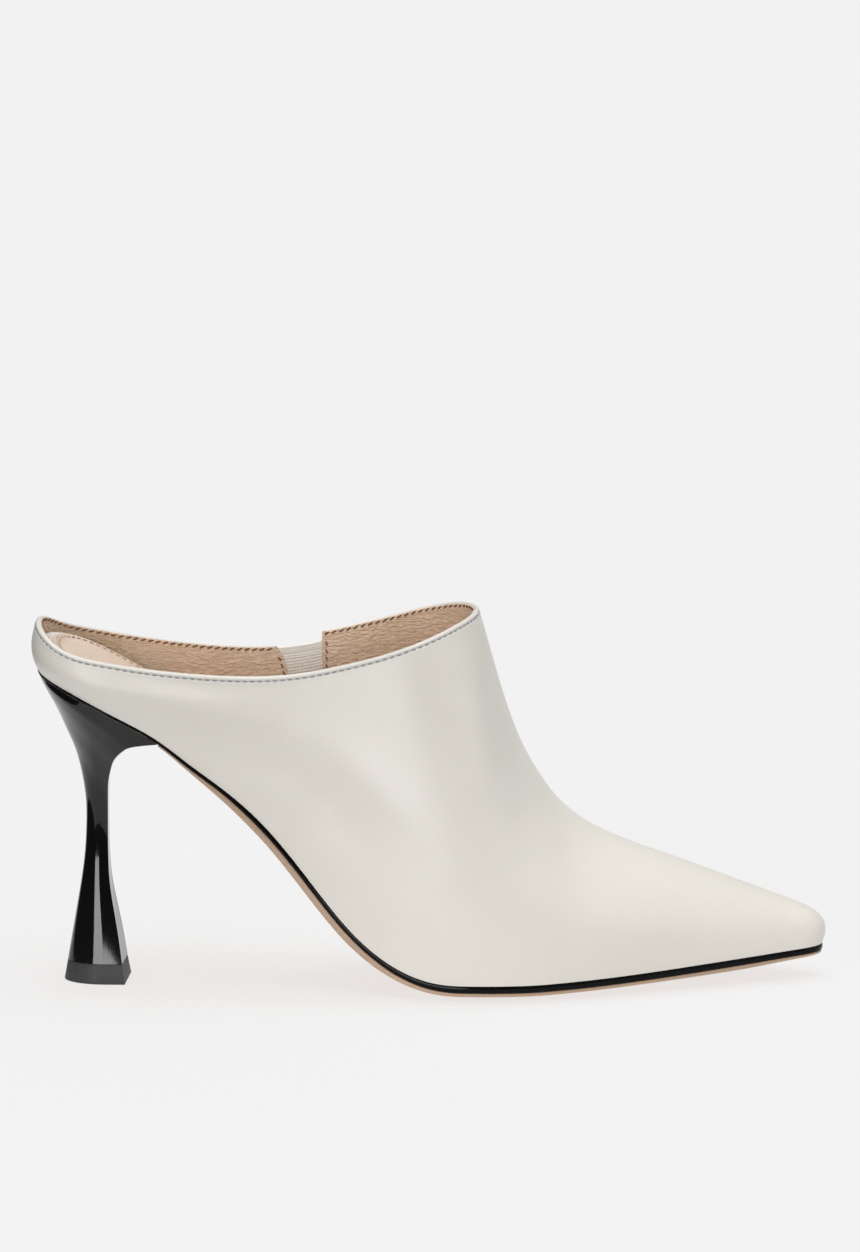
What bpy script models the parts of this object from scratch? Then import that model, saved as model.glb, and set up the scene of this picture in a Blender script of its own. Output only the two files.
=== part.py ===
"""Heeled mule, a right shoe: a closed leather upper on a tall waisted heel.

X runs from the back of the heel to the toe, Y to the inner side of the foot and Z up,
with the floor at Z = 0. Sizes are in millimetres until a mesh is made. The upper, its
gore, the insole and the soles all follow one last: half planes ("rays") stand round it,
and each carries a section that rises from the feather edge over a bulge to the top.
"""

from typing import Callable, NamedTuple

import bmesh
import bpy
import numpy as np

MM = 0.001

# Overall sizes
SHOE_LENGTH = 244.0
HEEL_HEIGHT = 97.4
HEEL_SEAT_WIDTH = 48.5
WAIST_WIDTH = 37.2
BALL_WIDTH = 71.0
TOE_WIDTH = 17.2
TOE_DEPTH = 11.0
TOE_SWING = 5.0
TOE_RISE = 5.45

# Places along the shoe
BACK_INSET = 2.0
HEEL_CENTRE_X = 25.5
TREAD_START_X = 131.5
TREAD_LENGTH = 20.0
VAMP_LENGTH = 107.1

# Outlines of the two ends in plan: 2 is an ellipse, and more is squarer
SEAT_SQUARENESS = 2.0
CUP_SQUARENESS = 2.5
TOE_SQUARENESS = 4.0
TOE_SIDE_TAPER = 0.36
TOE_TIP_INSET = 0.9
TOE_TOP_SLOPE = -0.40

# Upper
WALL = 1.8
COUNTER_HEIGHT = 15.4
THROAT_OVER_SEAT = 19.1
COLLAR_DIP = 15.0
TOE_BOX_HEIGHT = 13.6
BULGE_OUT = 8.0
BULGE_HEIGHT = 30.0
INNER_COLLAR_LIFT = 2.5
FEATHER_FLARE = 0.5
FEATHER_RISE = 0.28
BULGE_HANDLE = 0.4

# Elastic gore in the inner side of the collar
GORE_BACK_X = 74.9
GORE_WIDTH = 13.8
GORE_DEPTH = 30.0
GORE_THICKNESS = 1.0
GORE_DROP = 0.4

# Soles, measured square to their curve
GAP = 0.3
OUTSOLE = 1.2
OUTSOLE_AT_BREAST = 0.3
OUTSOLE_AT_TOE = 0.9
RAND = 1.6
RAND_AT_HEEL = 0.5
RAND_AT_TOE = 1.3
EDGE_LIFT = 1.6
CURL_SHARE = 0.32
SKIVE_LENGTH = 30.0
TOE_SKIVE_LENGTH = 45.0

# Insole and the pad on it
INSOLE = 2.5
INSOLE_CLEARANCE = 1.2          # to the wall, which flares out from the feather edge
HEEL_CUSHION = 8.6
CUSHION_END_X = 105.0
CUSHION_DISH = 1.0
PAD = 1.0
PAD_MARGIN = 2.2
PAD_FRONT_GAP = 24.0

# Heel
BREAST_X = 38.8
HEEL_BASE_BACK_X = 10.6
HEEL_BASE_LENGTH = 17.6
HEEL_BASE_WIDTH = 16.4
HEEL_TWIST = np.radians(-5.0)
SEAT_INSET = 0.2
OUTSOLE_INSET = 0.15
LIFT_HEIGHT = 6.2
LIFT_FLARE = 1.0

LATERAL, MEDIAL = -1.0, 1.0
THROAT_X = SHOE_LENGTH - VAMP_LENGTH
TOE_CENTRE_X = SHOE_LENGTH - TOE_DEPTH
GORE_FRONT_X = GORE_BACK_X + GORE_WIDTH
TREAD_END_X = TREAD_START_X + TREAD_LENGTH
CURL_WIDTH = CURL_SHARE * HEEL_SEAT_WIDTH
SOLE_STACK = OUTSOLE + RAND + 2.0 * GAP + EDGE_LIFT
FEATHER_AT_TOE = SOLE_STACK + TOE_RISE
TOE_TOP = FEATHER_AT_TOE + TOE_BOX_HEIGHT
THROAT_HEIGHT = HEEL_HEIGHT + THROAT_OVER_SEAT


class PlanRow(NamedTuple):
    """Half widths at the feather edge, as shares of the size that the row names."""

    along: float    # 0 at the heel's centre, 1 at the toe's centre
    size: float
    outer: float
    inner: float
    swing: float    # share of TOE_SWING


class GirthRow(NamedTuple):
    """The bulge beyond the feather edge and how full the section is above it."""

    along: float    # as in PlanRow
    outer: float    # share of BULGE_OUT
    inner: float
    height: float   # share of BULGE_HEIGHT
    side: float     # length of the upright handle, share of the height above the bulge
    crown: float    # length of the level handle, share of the half width


class LineRow(NamedTuple):
    """A height along one line, as a share of the size that the line names."""

    along: float
    share: float


class HeelRow(NamedTuple):
    """One ring of the heel, as shares from the seat's ring to the base's."""

    down: float     # 0 at the seat, 1 at the base
    back: float     # share of the way from the seat's back to the base's back
    front: float    # share of the way from the breast's tip to the base's front
    width: float    # share of the seat's half width


PLAN = [
    PlanRow(0.000, HEEL_SEAT_WIDTH, 0.500, 0.500, 0.00),
    PlanRow(0.097, HEEL_SEAT_WIDTH, 0.466, 0.450, 0.00),
    PlanRow(0.188, WAIST_WIDTH, 0.540, 0.500, 0.00),
    PlanRow(0.266, WAIST_WIDTH, 0.530, 0.475, 0.00),
    PlanRow(0.343, WAIST_WIDTH, 0.632, 0.530, 0.00),
    PlanRow(0.420, BALL_WIDTH, 0.414, 0.345, 0.00),
    PlanRow(0.498, BALL_WIDTH, 0.476, 0.431, 0.03),
    PlanRow(0.556, BALL_WIDTH, 0.490, 0.485, 0.10),
    PlanRow(0.604, BALL_WIDTH, 0.484, 0.505, 0.18),
    PlanRow(0.671, BALL_WIDTH, 0.445, 0.487, 0.30),
    PlanRow(0.749, BALL_WIDTH, 0.380, 0.425, 0.45),
    PlanRow(0.845, BALL_WIDTH, 0.281, 0.313, 0.66),
    PlanRow(0.942, TOE_WIDTH, 0.744, 0.790, 0.88),
    PlanRow(1.000, TOE_WIDTH, 0.500, 0.500, 1.00),
]

GIRTH = [
    GirthRow(0.000, 0.43, 0.43, 0.26, 0.35, 0.50),
    GirthRow(0.097, 0.58, 0.62, 0.36, 0.38, 0.50),
    GirthRow(0.188, 0.76, 0.88, 0.60, 0.44, 0.48),
    GirthRow(0.266, 0.83, 1.08, 0.88, 0.52, 0.47),
    GirthRow(0.343, 0.78, 1.20, 1.00, 0.60, 0.46),
    GirthRow(0.420, 0.68, 1.12, 0.93, 0.62, 0.44),
    GirthRow(0.498, 0.56, 0.80, 0.77, 0.58, 0.40),
    GirthRow(0.556, 0.48, 0.50, 0.60, 0.54, 0.38),
    GirthRow(0.604, 0.45, 0.43, 0.52, 0.52, 0.39),
    GirthRow(0.671, 0.40, 0.40, 0.43, 0.50, 0.41),
    GirthRow(0.749, 0.34, 0.35, 0.37, 0.48, 0.44),
    GirthRow(0.845, 0.25, 0.25, 0.28, 0.48, 0.46),
    GirthRow(0.942, 0.17, 0.17, 0.20, 0.50, 0.48),
    GirthRow(1.000, 0.13, 0.13, 0.15, 0.52, 0.50),
]
BACK_BULGE_SHARE = 0.25

# Rise of the feather edge from the tread (0) to the back of the seat (1)
ARCH = [
    LineRow(0.000, 1.000),
    LineRow(0.052, 0.974),
    LineRow(0.090, 0.952),
    LineRow(0.147, 0.914),
    LineRow(0.204, 0.872),
    LineRow(0.284, 0.806),
    LineRow(0.360, 0.722),
    LineRow(0.454, 0.618),
    LineRow(0.548, 0.489),
    LineRow(0.644, 0.322),
    LineRow(0.738, 0.164),
    LineRow(0.833, 0.059),
    LineRow(0.927, 0.009),
    LineRow(1.000, 0.000),
]
TOE_SPRING_POWER = 1.42

# Sag of the collar under the straight line from its back (0) to the throat (1)
COLLAR = [
    LineRow(0.000, 0.000),
    LineRow(0.050, 0.290),
    LineRow(0.141, 0.550),
    LineRow(0.256, 0.755),
    LineRow(0.411, 0.945),
    LineRow(0.520, 1.000),
    LineRow(0.620, 0.935),
    LineRow(0.686, 0.815),
    LineRow(0.778, 0.605),
    LineRow(0.868, 0.355),
    LineRow(0.913, 0.225),
    LineRow(0.960, 0.090),
    LineRow(1.000, 0.000),
]

# Top of each section: the ridge of the vamp before the throat, and behind it the
# height that the section would close at if the collar did not cut it.
# along is -1 at the heel's centre, 0 at the throat and 1 at the toe's centre.
TOP = [
    LineRow(-1.000, 1.190),
    LineRow(-0.820, 1.450),
    LineRow(-0.650, 1.690),
    LineRow(-0.488, 1.734),
    LineRow(-0.381, 1.640),
    LineRow(-0.269, 1.527),
    LineRow(-0.160, 1.385),
    LineRow(-0.105, 1.262),
    LineRow(-0.049, 1.138),
    LineRow(0.000, 1.000),
    LineRow(0.070, 0.735),
    LineRow(0.135, 0.540),
    LineRow(0.199, 0.421),
    LineRow(0.263, 0.336),
    LineRow(0.327, 0.281),
    LineRow(0.456, 0.212),
    LineRow(0.644, 0.140),
    LineRow(0.840, 0.063),
    LineRow(1.000, 0.000),
]

HEEL = [
    HeelRow(0.000, 0.000, 0.000, 1.000),
    HeelRow(0.008, 0.035, 0.420, 0.955),
    HeelRow(0.020, 0.090, 0.800, 0.905),
    HeelRow(0.050, 0.250, 1.060, 0.800),
    HeelRow(0.085, 0.460, 1.250, 0.690),
    HeelRow(0.130, 0.700, 1.350, 0.565),
    HeelRow(0.190, 0.985, 1.425, 0.435),
    HeelRow(0.260, 1.300, 1.450, 0.320),
    HeelRow(0.340, 1.530, 1.455, 0.240),
    HeelRow(0.430, 1.680, 1.455, 0.205),
    HeelRow(0.530, 1.700, 1.445, 0.200),
    HeelRow(0.640, 1.625, 1.400, 0.225),
    HeelRow(0.760, 1.440, 1.270, 0.270),
    HeelRow(0.880, 1.220, 1.120, 0.318),
    HeelRow(1.000, 1.000, 1.000, 0.360),
]

# Counts of columns and rows on the meshes
HEEL_COLUMNS = 7
REAR_COLUMNS = 12
GORE_COLUMNS = 4
THROAT_COLUMNS = 12
VAMP_COLUMNS = 20
TOE_COLUMNS = 7
LOW_ROWS = 7
HIGH_ROWS = 6
RIB_PARTS = 4
SOLE_COLUMNS = (6, 32, 7)       # round the heel, between the two centres, round the toe
INSOLE_COLUMNS = (6, 26, 6)
SECTION_SAMPLES = 40
CROWDING_BEHIND_THROAT = 1.7
CROWDING_BEFORE_THROAT = 1.45
ROWS_LEAVE_GORE = 30.0
ROWS_FADE = 26.0


class Spline:
    """A smooth curve through rows of (place, value), with level ends where asked."""

    def __init__(self, places, values, level_end: bool = False):
        self.x = np.asarray(places, float)
        self.y = np.asarray(values, float)
        steps = np.diff(self.x)
        rises = np.diff(self.y) / steps
        count = len(self.x)
        matrix = np.zeros((count, count))
        right = np.zeros(count)
        matrix[0, 0:2] = 2.0, 1.0
        right[0] = 3.0 * rises[0]
        matrix[-1, -2:] = (0.0, 1.0) if level_end else (1.0, 2.0)
        right[-1] = 0.0 if level_end else 3.0 * rises[-1]
        for i in range(1, count - 1):
            matrix[i, i - 1] = steps[i]
            matrix[i, i] = 2.0 * (steps[i - 1] + steps[i])
            matrix[i, i + 1] = steps[i - 1]
            right[i] = 3.0 * (steps[i] * rises[i - 1] + steps[i - 1] * rises[i])
        self.slopes = np.linalg.solve(matrix, right)

    def __call__(self, place):
        place = np.clip(place, self.x[0], self.x[-1])
        i = np.clip(np.searchsorted(self.x, place) - 1, 0, len(self.x) - 2)
        step = self.x[i + 1] - self.x[i]
        t = (place - self.x[i]) / step
        start, end = self.y[i], self.y[i + 1]
        rise_in, rise_out = self.slopes[i] * step, self.slopes[i + 1] * step
        return (start * (1 + 2 * t) * (1 - t) ** 2 + rise_in * t * (1 - t) ** 2
                + end * t * t * (3 - 2 * t) + rise_out * t * t * (t - 1))


def spline_of(rows, value: Callable, level_end: bool = False) -> Spline:
    """A spline over the rows' places of what value() reads from each row."""
    return Spline([row.along for row in rows], [value(row) for row in rows], level_end)


def ease(share):
    """0 to 1 with level ends."""
    share = np.clip(share, 0.0, 1.0)
    return share * share * (3.0 - 2.0 * share)


def blend(start, end, share):
    return start + (end - start) * share


outer_width = spline_of(PLAN, lambda row: row.size * row.outer)
inner_width = spline_of(PLAN, lambda row: row.size * row.inner)
swing = spline_of(PLAN, lambda row: TOE_SWING * row.swing)
outer_bulge = spline_of(GIRTH, lambda row: BULGE_OUT * row.outer)
inner_bulge = spline_of(GIRTH, lambda row: BULGE_OUT * row.inner)
bulge_height = spline_of(GIRTH, lambda row: BULGE_HEIGHT * row.height)
side_fullness = spline_of(GIRTH, lambda row: row.side)
crown_fullness = spline_of(GIRTH, lambda row: row.crown)
arch = spline_of(ARCH, lambda row: row.share, level_end=True)
collar_sag = spline_of(COLLAR, lambda row: COLLAR_DIP * row.share)
top_share = spline_of(TOP, lambda row: row.share)


def feather_z(x):
    """Height of the feather edge, where the upper meets the sole."""
    rear = arch((x - BACK_INSET) / (TREAD_START_X - BACK_INSET))
    front = np.clip((x - TREAD_END_X) / (SHOE_LENGTH - TREAD_END_X), 0.0, 1.0)
    return SOLE_STACK + (HEEL_HEIGHT - SOLE_STACK) * rear + TOE_RISE * front ** TOE_SPRING_POWER


def drop(x, thickness):
    """How far a layer of a given thickness reaches down, square to the sole's curve."""
    step = 0.5
    slope = (feather_z(x + step) - feather_z(x - step)) / (2.0 * step)
    return thickness * np.sqrt(1.0 + slope * slope)


def rand_thickness(x):
    rear = blend(RAND_AT_HEEL, RAND, ease((x - BREAST_X) / SKIVE_LENGTH))
    return rear + (RAND_AT_TOE - RAND) * ease((x - SHOE_LENGTH + TOE_SKIVE_LENGTH) / TOE_SKIVE_LENGTH)


def outsole_thickness(x):
    rear = blend(OUTSOLE_AT_BREAST, OUTSOLE, ease((x - BREAST_X) / SKIVE_LENGTH))
    return rear + (OUTSOLE_AT_TOE - OUTSOLE) * ease((x - SHOE_LENGTH + TOE_SKIVE_LENGTH) / TOE_SKIVE_LENGTH)


def collar_z(x, side: float):
    """Height of the collar's edge. The inner side steps up before the gore."""
    along = np.clip(x / THROAT_X, 0.0, 1.0)
    straight = blend(HEEL_HEIGHT + COUNTER_HEIGHT, THROAT_HEIGHT, along)
    height = straight - collar_sag(along)
    if side == MEDIAL:
        height = height + inner_lift(x)
    return height


def inner_lift(x):
    """How much higher the inner side of the collar runs than the outer one."""
    up = ease((x - GORE_BACK_X) / GORE_WIDTH)
    fade = np.clip((THROAT_X - x) / (THROAT_X - GORE_FRONT_X), 0.0, 1.0)
    return INNER_COLLAR_LIFT * np.minimum(up, fade)


def top_z(x):
    """Height of a section's top: the ridge, or the closing height behind the throat."""
    reach = np.where(x < THROAT_X, THROAT_X - HEEL_CENTRE_X, TOE_CENTRE_X - THROAT_X)
    return blend(TOE_TOP, THROAT_HEIGHT, top_share(np.clip((x - THROAT_X) / reach, -1.0, 1.0)))


class Rays:
    """Half planes round one side of the last.

    turn runs from 0 at the back over 1 at the heel's centre and 2 at the toe's centre
    to 3 at the tip. In the two ends the rays fan out from a centre, and between them
    they stand square to the shoe's length.
    """

    def __init__(self, side: float, turn):
        turn = np.asarray(turn, float)
        self.side = side
        heel = np.clip(1.0 - turn, 0.0, 1.0) * np.pi / 2
        toe = np.clip(turn - 2.0, 0.0, 1.0) * np.pi / 2
        along = np.clip(turn - 1.0, 0.0, 1.0)
        is_outer = side == LATERAL
        width = (outer_width if is_outer else inner_width)(along)
        bulge = (outer_bulge if is_outer else inner_bulge)(along)

        self.centre_x = blend(HEEL_CENTRE_X, TOE_CENTRE_X, along)
        self.centre_y = swing(along)
        self.dir_x = np.sin(toe) - np.sin(heel)
        self.dir_y = side * np.cos(toe) * np.cos(heel)
        seat_depth = HEEL_CENTRE_X - BACK_INSET
        cup_depth = seat_depth + BULGE_OUT * BACK_BULGE_SHARE
        self.foot = self.reach(width, seat_depth, SEAT_SQUARENESS, heel, toe)
        self.belly = self.reach(width + bulge, cup_depth, CUP_SQUARENESS, heel, toe, bulge)
        self.x = self.centre_x + self.dir_x * self.foot
        self.foot_z = feather_z(self.x)
        self.belly_z = self.foot_z + bulge_height(along)
        self.top_z = top_z(self.centre_x)
        self.side_fullness = side_fullness(along)
        self.crown_fullness = crown_fullness(along)
        self.toe_slope = TOE_TOP_SLOPE * np.sin(toe)
        self.is_cut = self.centre_x < THROAT_X
        self.cut_z = collar_z(self.centre_x + self.dir_x * self.belly, side)

    @staticmethod
    def reach(width, heel_depth, squareness, heel, toe, grow=0.0):
        """Distance from the centre to the outline: a round heel behind, a snipped toe before."""
        back = (np.sin(heel) / heel_depth) ** squareness
        side = (np.cos(heel) / width) ** squareness
        round_end = (back + side) ** (-1.0 / squareness)
        flank = (np.cos(toe) + TOE_SIDE_TAPER * np.sin(toe)) / width
        front = np.sin(toe) / (TOE_DEPTH - TOE_TIP_INSET + grow)
        snipped = (flank ** TOE_SQUARENESS + front ** TOE_SQUARENESS) ** (-1.0 / TOE_SQUARENESS)
        return np.where(toe > 0.0, snipped, round_end)

    def sections(self):
        """Each ray's section as radii, heights and running lengths, one row a ray."""
        t = np.linspace(0.0, 1.0, SECTION_SAMPLES)[None, :]
        foot, belly = self.foot[:, None], self.belly[:, None]
        foot_z, belly_z = self.foot_z[:, None], self.belly_z[:, None]
        top = self.top_z[:, None]
        out, up, rise = belly - foot, belly_z - foot_z, top - belly_z
        crown = belly * self.crown_fullness[:, None]
        low_r = bezier(foot, foot + FEATHER_FLARE * out, belly, belly, t)
        low_z = bezier(foot_z, foot_z + FEATHER_RISE * up, belly_z - BULGE_HANDLE * up, belly_z, t)
        high_r = bezier(belly, belly, crown, 0.0 * belly, t)
        high_z = bezier(belly_z, belly_z + rise * self.side_fullness[:, None],
                        top + crown * self.toe_slope[:, None], top, t)
        radii = np.hstack([low_r[:, :-1], high_r])
        heights = np.hstack([low_z[:, :-1], high_z])
        lengths = np.cumsum(np.hypot(np.diff(radii), np.diff(heights)), axis=1)
        return radii, heights, np.hstack([0.0 * foot, lengths])

    def points(self, length_of: Callable):
        """Points on the wall, one a ray: length_of takes each ray's whole length."""
        radii, heights, lengths = self.sections()
        full = np.array([
            np.interp(cut, z, run) if is_cut else run[-1]
            for cut, is_cut, z, run in zip(self.cut_z, self.is_cut, heights, lengths)
        ])
        wanted = length_of(full)
        radius = np.array([np.interp(w, run, r) for w, run, r in zip(wanted, lengths, radii)])
        height = np.array([np.interp(w, run, z) for w, run, z in zip(wanted, lengths, heights)])
        return np.stack([self.centre_x + self.dir_x * radius,
                         self.centre_y + self.dir_y * radius, height], axis=-1)

    def ring(self, over_feather):
        """Points on the outside of the wall at a height over the feather edge."""
        radii, heights, _ = self.sections()
        wanted = self.foot_z + over_feather
        radius = np.array([np.interp(w, z, r) for w, z, r in zip(wanted, heights, radii)])
        return np.stack([self.centre_x + self.dir_x * radius,
                         self.centre_y + self.dir_y * radius, wanted], axis=-1)


def bezier(a, b, c, d, t):
    return a * (1 - t) ** 3 + 3 * b * t * (1 - t) ** 2 + 3 * c * t * t * (1 - t) + d * t ** 3


def turn_at(x):
    """The ray that stands at a place between the two centres."""
    return 1.0 + (x - HEEL_CENTRE_X) / (TOE_CENTRE_X - HEEL_CENTRE_X)


def column_turns():
    """Each column's ray at the feather edge and at the top.

    The columns close up at the throat's apex, where the collar turns across the foot,
    and open again on both sides of it, but not in the gore's slot.
    """
    heel = np.linspace(0.0, 1.0, HEEL_COLUMNS, endpoint=False)
    rear = np.linspace(HEEL_CENTRE_X, GORE_BACK_X, REAR_COLUMNS, endpoint=False)
    gore = np.linspace(GORE_BACK_X, GORE_FRONT_X, GORE_COLUMNS, endpoint=False)
    throat = np.linspace(GORE_FRONT_X, THROAT_X, THROAT_COLUMNS, endpoint=False)
    vamp = np.linspace(THROAT_X, TOE_CENTRE_X, VAMP_COLUMNS, endpoint=False)
    toe = np.linspace(2.0, 3.0, TOE_COLUMNS + 1)
    low = np.concatenate([rear, gore, throat, vamp])
    room = np.where(low < THROAT_X, THROAT_X - GORE_FRONT_X, TOE_CENTRE_X - THROAT_X)
    away = low - THROAT_X
    near = np.abs(away) < room
    crowding = np.where(away < 0.0, CROWDING_BEHIND_THROAT, CROWDING_BEFORE_THROAT)
    closed = np.sign(away) * room * (np.abs(away) / room) ** crowding
    high = np.where(near, THROAT_X + closed, low)
    return (np.concatenate([heel, turn_at(low), toe]),
            np.concatenate([heel, turn_at(high), toe]))


def wall_lengths(full, x, row):
    """Length from the feather edge at a row, with the gore's foot on a row of its own."""
    by_gore = (ease((x - GORE_BACK_X + ROWS_LEAVE_GORE) / ROWS_FADE)
               * ease((GORE_FRONT_X + ROWS_LEAVE_GORE - x) / ROWS_FADE))
    high_part = blend(0.5 * full, np.minimum(GORE_DEPTH, 0.8 * full), by_gore)
    if row <= LOW_ROWS:
        return (full - high_part) * row / LOW_ROWS
    return full - high_part * (LOW_ROWS + HIGH_ROWS - row) / HIGH_ROWS


def side_grid(side: float):
    """Points of one side of the upper, rows from the feather edge to the top."""
    low, high = column_turns()
    grid = []
    for row in range(LOW_ROWS + HIGH_ROWS + 1):
        rays = Rays(side, blend(low, high, ease(row / (LOW_ROWS + HIGH_ROWS))))
        grid.append(rays.points(lambda full, x=rays.centre_x, r=row: wall_lengths(full, x, r)))
    return np.array(grid)


def mesh_object(name: str, points, faces, collection, weld: bool = True):
    """A mesh object from points in millimetres, with outward faces."""
    mesh = bpy.data.meshes.new(name)
    work = bmesh.new()
    verts = [work.verts.new(point * MM) for point in points]
    for face in faces:
        if len(set(face)) > 2:
            work.faces.new([verts[i] for i in face])
    if weld:
        bmesh.ops.remove_doubles(work, verts=work.verts, dist=1e-6)
    bmesh.ops.recalc_face_normals(work, faces=work.faces)
    work.to_mesh(mesh)
    work.free()
    mesh.shade_smooth()
    mesh.set_sharp_from_angle(angle=np.radians(40.0))
    shape = bpy.data.objects.new(name, mesh)
    collection.objects.link(shape)
    return shape


def grid_faces(rows: int, columns: int, start: int = 0, keep: Callable = None):
    """Quads of a grid of points stored row by row."""
    faces = []
    for r in range(rows - 1):
        for c in range(columns - 1):
            if keep is None or keep(r, c):
                first = start + r * columns + c
                faces.append((first, first + 1, first + columns + 1, first + columns))
    return faces


def add_shell(shape, thickness: float):
    """Give an open surface its wall, inwards."""
    wall = shape.modifiers.new("wall", "SOLIDIFY")
    wall.thickness = thickness * MM
    wall.offset = -1.0
    wall.use_even_offset = True
    wall.use_quality_normals = True


def build_upper(collection):
    """The leather upper, open at the collar, underneath and in the gore's slot."""
    outer, inner = side_grid(LATERAL), side_grid(MEDIAL)
    rows, columns = outer.shape[:2]
    slot_start = HEEL_COLUMNS + REAR_COLUMNS

    def outside_slot(r, c):
        return r < LOW_ROWS or not slot_start <= c < slot_start + GORE_COLUMNS

    faces = grid_faces(rows, columns)
    faces += grid_faces(rows, columns, rows * columns, outside_slot)
    points = np.concatenate([outer.reshape(-1, 3), inner.reshape(-1, 3)])
    shape = mesh_object("upper", points, faces, collection)
    add_shell(shape, WALL)
    return shape


def surface_normals(grid):
    """Unit normals of a grid of points."""
    along = np.gradient(grid, axis=1)
    up = np.gradient(grid, axis=0)
    normals = np.cross(along, up)
    return normals / np.linalg.norm(normals, axis=-1, keepdims=True)


def build_gore(collection):
    """The elastic panel, in the middle of the wall, clear of the slot's three edges."""
    rows, columns = 8, GORE_COLUMNS + 1
    x = np.linspace(GORE_BACK_X + GAP, GORE_FRONT_X - GAP, columns)
    rays = Rays(MEDIAL, turn_at(x))
    top = GORE_DROP + inner_lift(x)
    grid = np.array([
        rays.points(lambda full, share=share: full - blend(GORE_DEPTH - GAP, top, share))
        for share in np.linspace(0.0, 1.0, rows)
    ])
    normals = surface_normals(grid)
    if normals[0, 0, 1] < 0.0:
        normals = -normals
    grid = grid - normals * (WALL - GORE_THICKNESS) / 2.0
    shape = mesh_object("elastic_gore", grid.reshape(-1, 3), grid_faces(rows, columns), collection)
    add_shell(shape, GORE_THICKNESS)
    return shape


def inset(points, distance):
    """Move an outline's points square to it, towards the inside, in plan."""
    side = np.sign(np.sum(points[:, 1] - np.mean(points[[0, -1], 1]))) or 1.0
    run = np.gradient(points[:, :2], axis=0)
    run[0] = (0.0, side) if abs(run[0][0]) < abs(run[0][1]) else run[0]
    square = np.stack([-run[:, 1], run[:, 0]], axis=-1) * -side
    square /= np.linalg.norm(square, axis=-1, keepdims=True)
    moved = points.copy()
    moved[:, :2] += square * distance
    return moved


def sole_outline(turns, distance: float = 0.0, over_feather: float = 0.0):
    """Outer and inner halves of the last's outline, inset by a distance."""
    halves = []
    for side in (LATERAL, MEDIAL):
        points = Rays(side, turns).ring(over_feather)
        moved = inset(points, distance) if distance else points
        if turns[0] == 0.0:
            moved[0, 1] = points[0, 1]
            moved[0, 0] = points[0, 0] + distance
        if turns[-1] == 3.0:
            moved[-1, 1] = points[-1, 1]
            moved[-1, 0] = points[-1, 0] - distance
        halves.append(moved)
    return halves


def sole_sag(across):
    """The sole is level in its middle half and turns up to its edges."""
    return 1.0 - np.clip(2.0 * np.abs(across) - 1.0, 0.0, 1.0) ** 2


def dish(across):
    return 1.0 - across * across


def level(halves, z, sag, shape: Callable = sole_sag):
    """Ribs across the outline at height z, sagging between its edges."""
    outer, inner = halves
    across = np.linspace(-1.0, 1.0, RIB_PARTS + 1)
    hang = shape(across)
    middle, half = (outer + inner) / 2.0, (inner - outer) / 2.0
    ribs = middle[:, None, :] + half[:, None, :] * across[None, :, None]
    depth = sag * ease(half[:, 1] / CURL_WIDTH)
    ribs[:, :, 2] = np.broadcast_to(z, len(outer))[:, None] - depth[:, None] * hang[None, :]
    return ribs


def stack_levels(name: str, levels, collection):
    """A closed body through levels of ribs, capped by the first and the last."""
    count, parts = levels[0].shape[:2]
    border = ([(i, 0) for i in range(count)] + [(count - 1, k) for k in range(1, parts)]
              + [(i, parts - 1) for i in range(count - 2, -1, -1)]
              + [(0, k) for k in range(parts - 2, 0, -1)])
    points = [levels[0].reshape(-1, 3)]
    faces = grid_faces(count, parts)
    rings = [[i * parts + k for i, k in border]]
    start = count * parts
    for ribs in levels[1:-1]:
        points.append(np.array([ribs[i, k] for i, k in border]))
        rings.append(list(range(start, start + len(border))))
        start += len(border)
    points.append(levels[-1].reshape(-1, 3))
    faces += grid_faces(count, parts, start)
    rings.append([start + i * parts + k for i, k in border])
    for low, high in zip(rings, rings[1:]):
        for k in range(len(border)):
            n = (k + 1) % len(border)
            faces.append((low[k], low[n], high[n], high[k]))
    return mesh_object(name, np.concatenate(points), faces, collection)


def sole_turns(columns, start_x: float = None):
    """Rays for a sole's ribs, from the back or from a place along the shoe to the tip."""
    heel_count, middle_count, toe_count = columns
    heel = np.linspace(0.0, 1.0, heel_count, endpoint=False) if start_x is None else []
    start = HEEL_CENTRE_X if start_x is None else start_x
    middle = turn_at(np.linspace(start, TOE_CENTRE_X, middle_count, endpoint=False))
    return np.concatenate([heel, middle, np.linspace(2.0, 3.0, toe_count)])


def rib_x(halves):
    return (halves[0][:, 0] + halves[1][:, 0]) / 2.0


def build_rand(collection):
    """The black strip under the upper, all the way round."""
    halves = sole_outline(sole_turns(SOLE_COLUMNS))
    x = rib_x(halves)
    top = feather_z(x) - drop(x, GAP)
    return stack_levels("rand", [level(halves, top - drop(x, rand_thickness(x)), EDGE_LIFT),
                                 level(halves, top, EDGE_LIFT)], collection)


def under_rand(x):
    return feather_z(x) - drop(x, 2.0 * GAP + rand_thickness(x))


def build_outsole(collection):
    """The leather outsole, from the breast of the heel to the toe."""
    halves = sole_outline(sole_turns(SOLE_COLUMNS, BREAST_X + GAP), OUTSOLE_INSET)
    x = rib_x(halves)
    top = under_rand(x)
    return stack_levels("outsole", [level(halves, top - drop(x, outsole_thickness(x)), EDGE_LIFT),
                                    level(halves, top, EDGE_LIFT)], collection)


def insole_thickness(x):
    return blend(HEEL_CUSHION, INSOLE, ease((x - HEEL_CENTRE_X) / (CUSHION_END_X - HEEL_CENTRE_X)))


def cushion_dish(x):
    return CUSHION_DISH * (insole_thickness(x) - INSOLE) / (HEEL_CUSHION - INSOLE)


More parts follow.
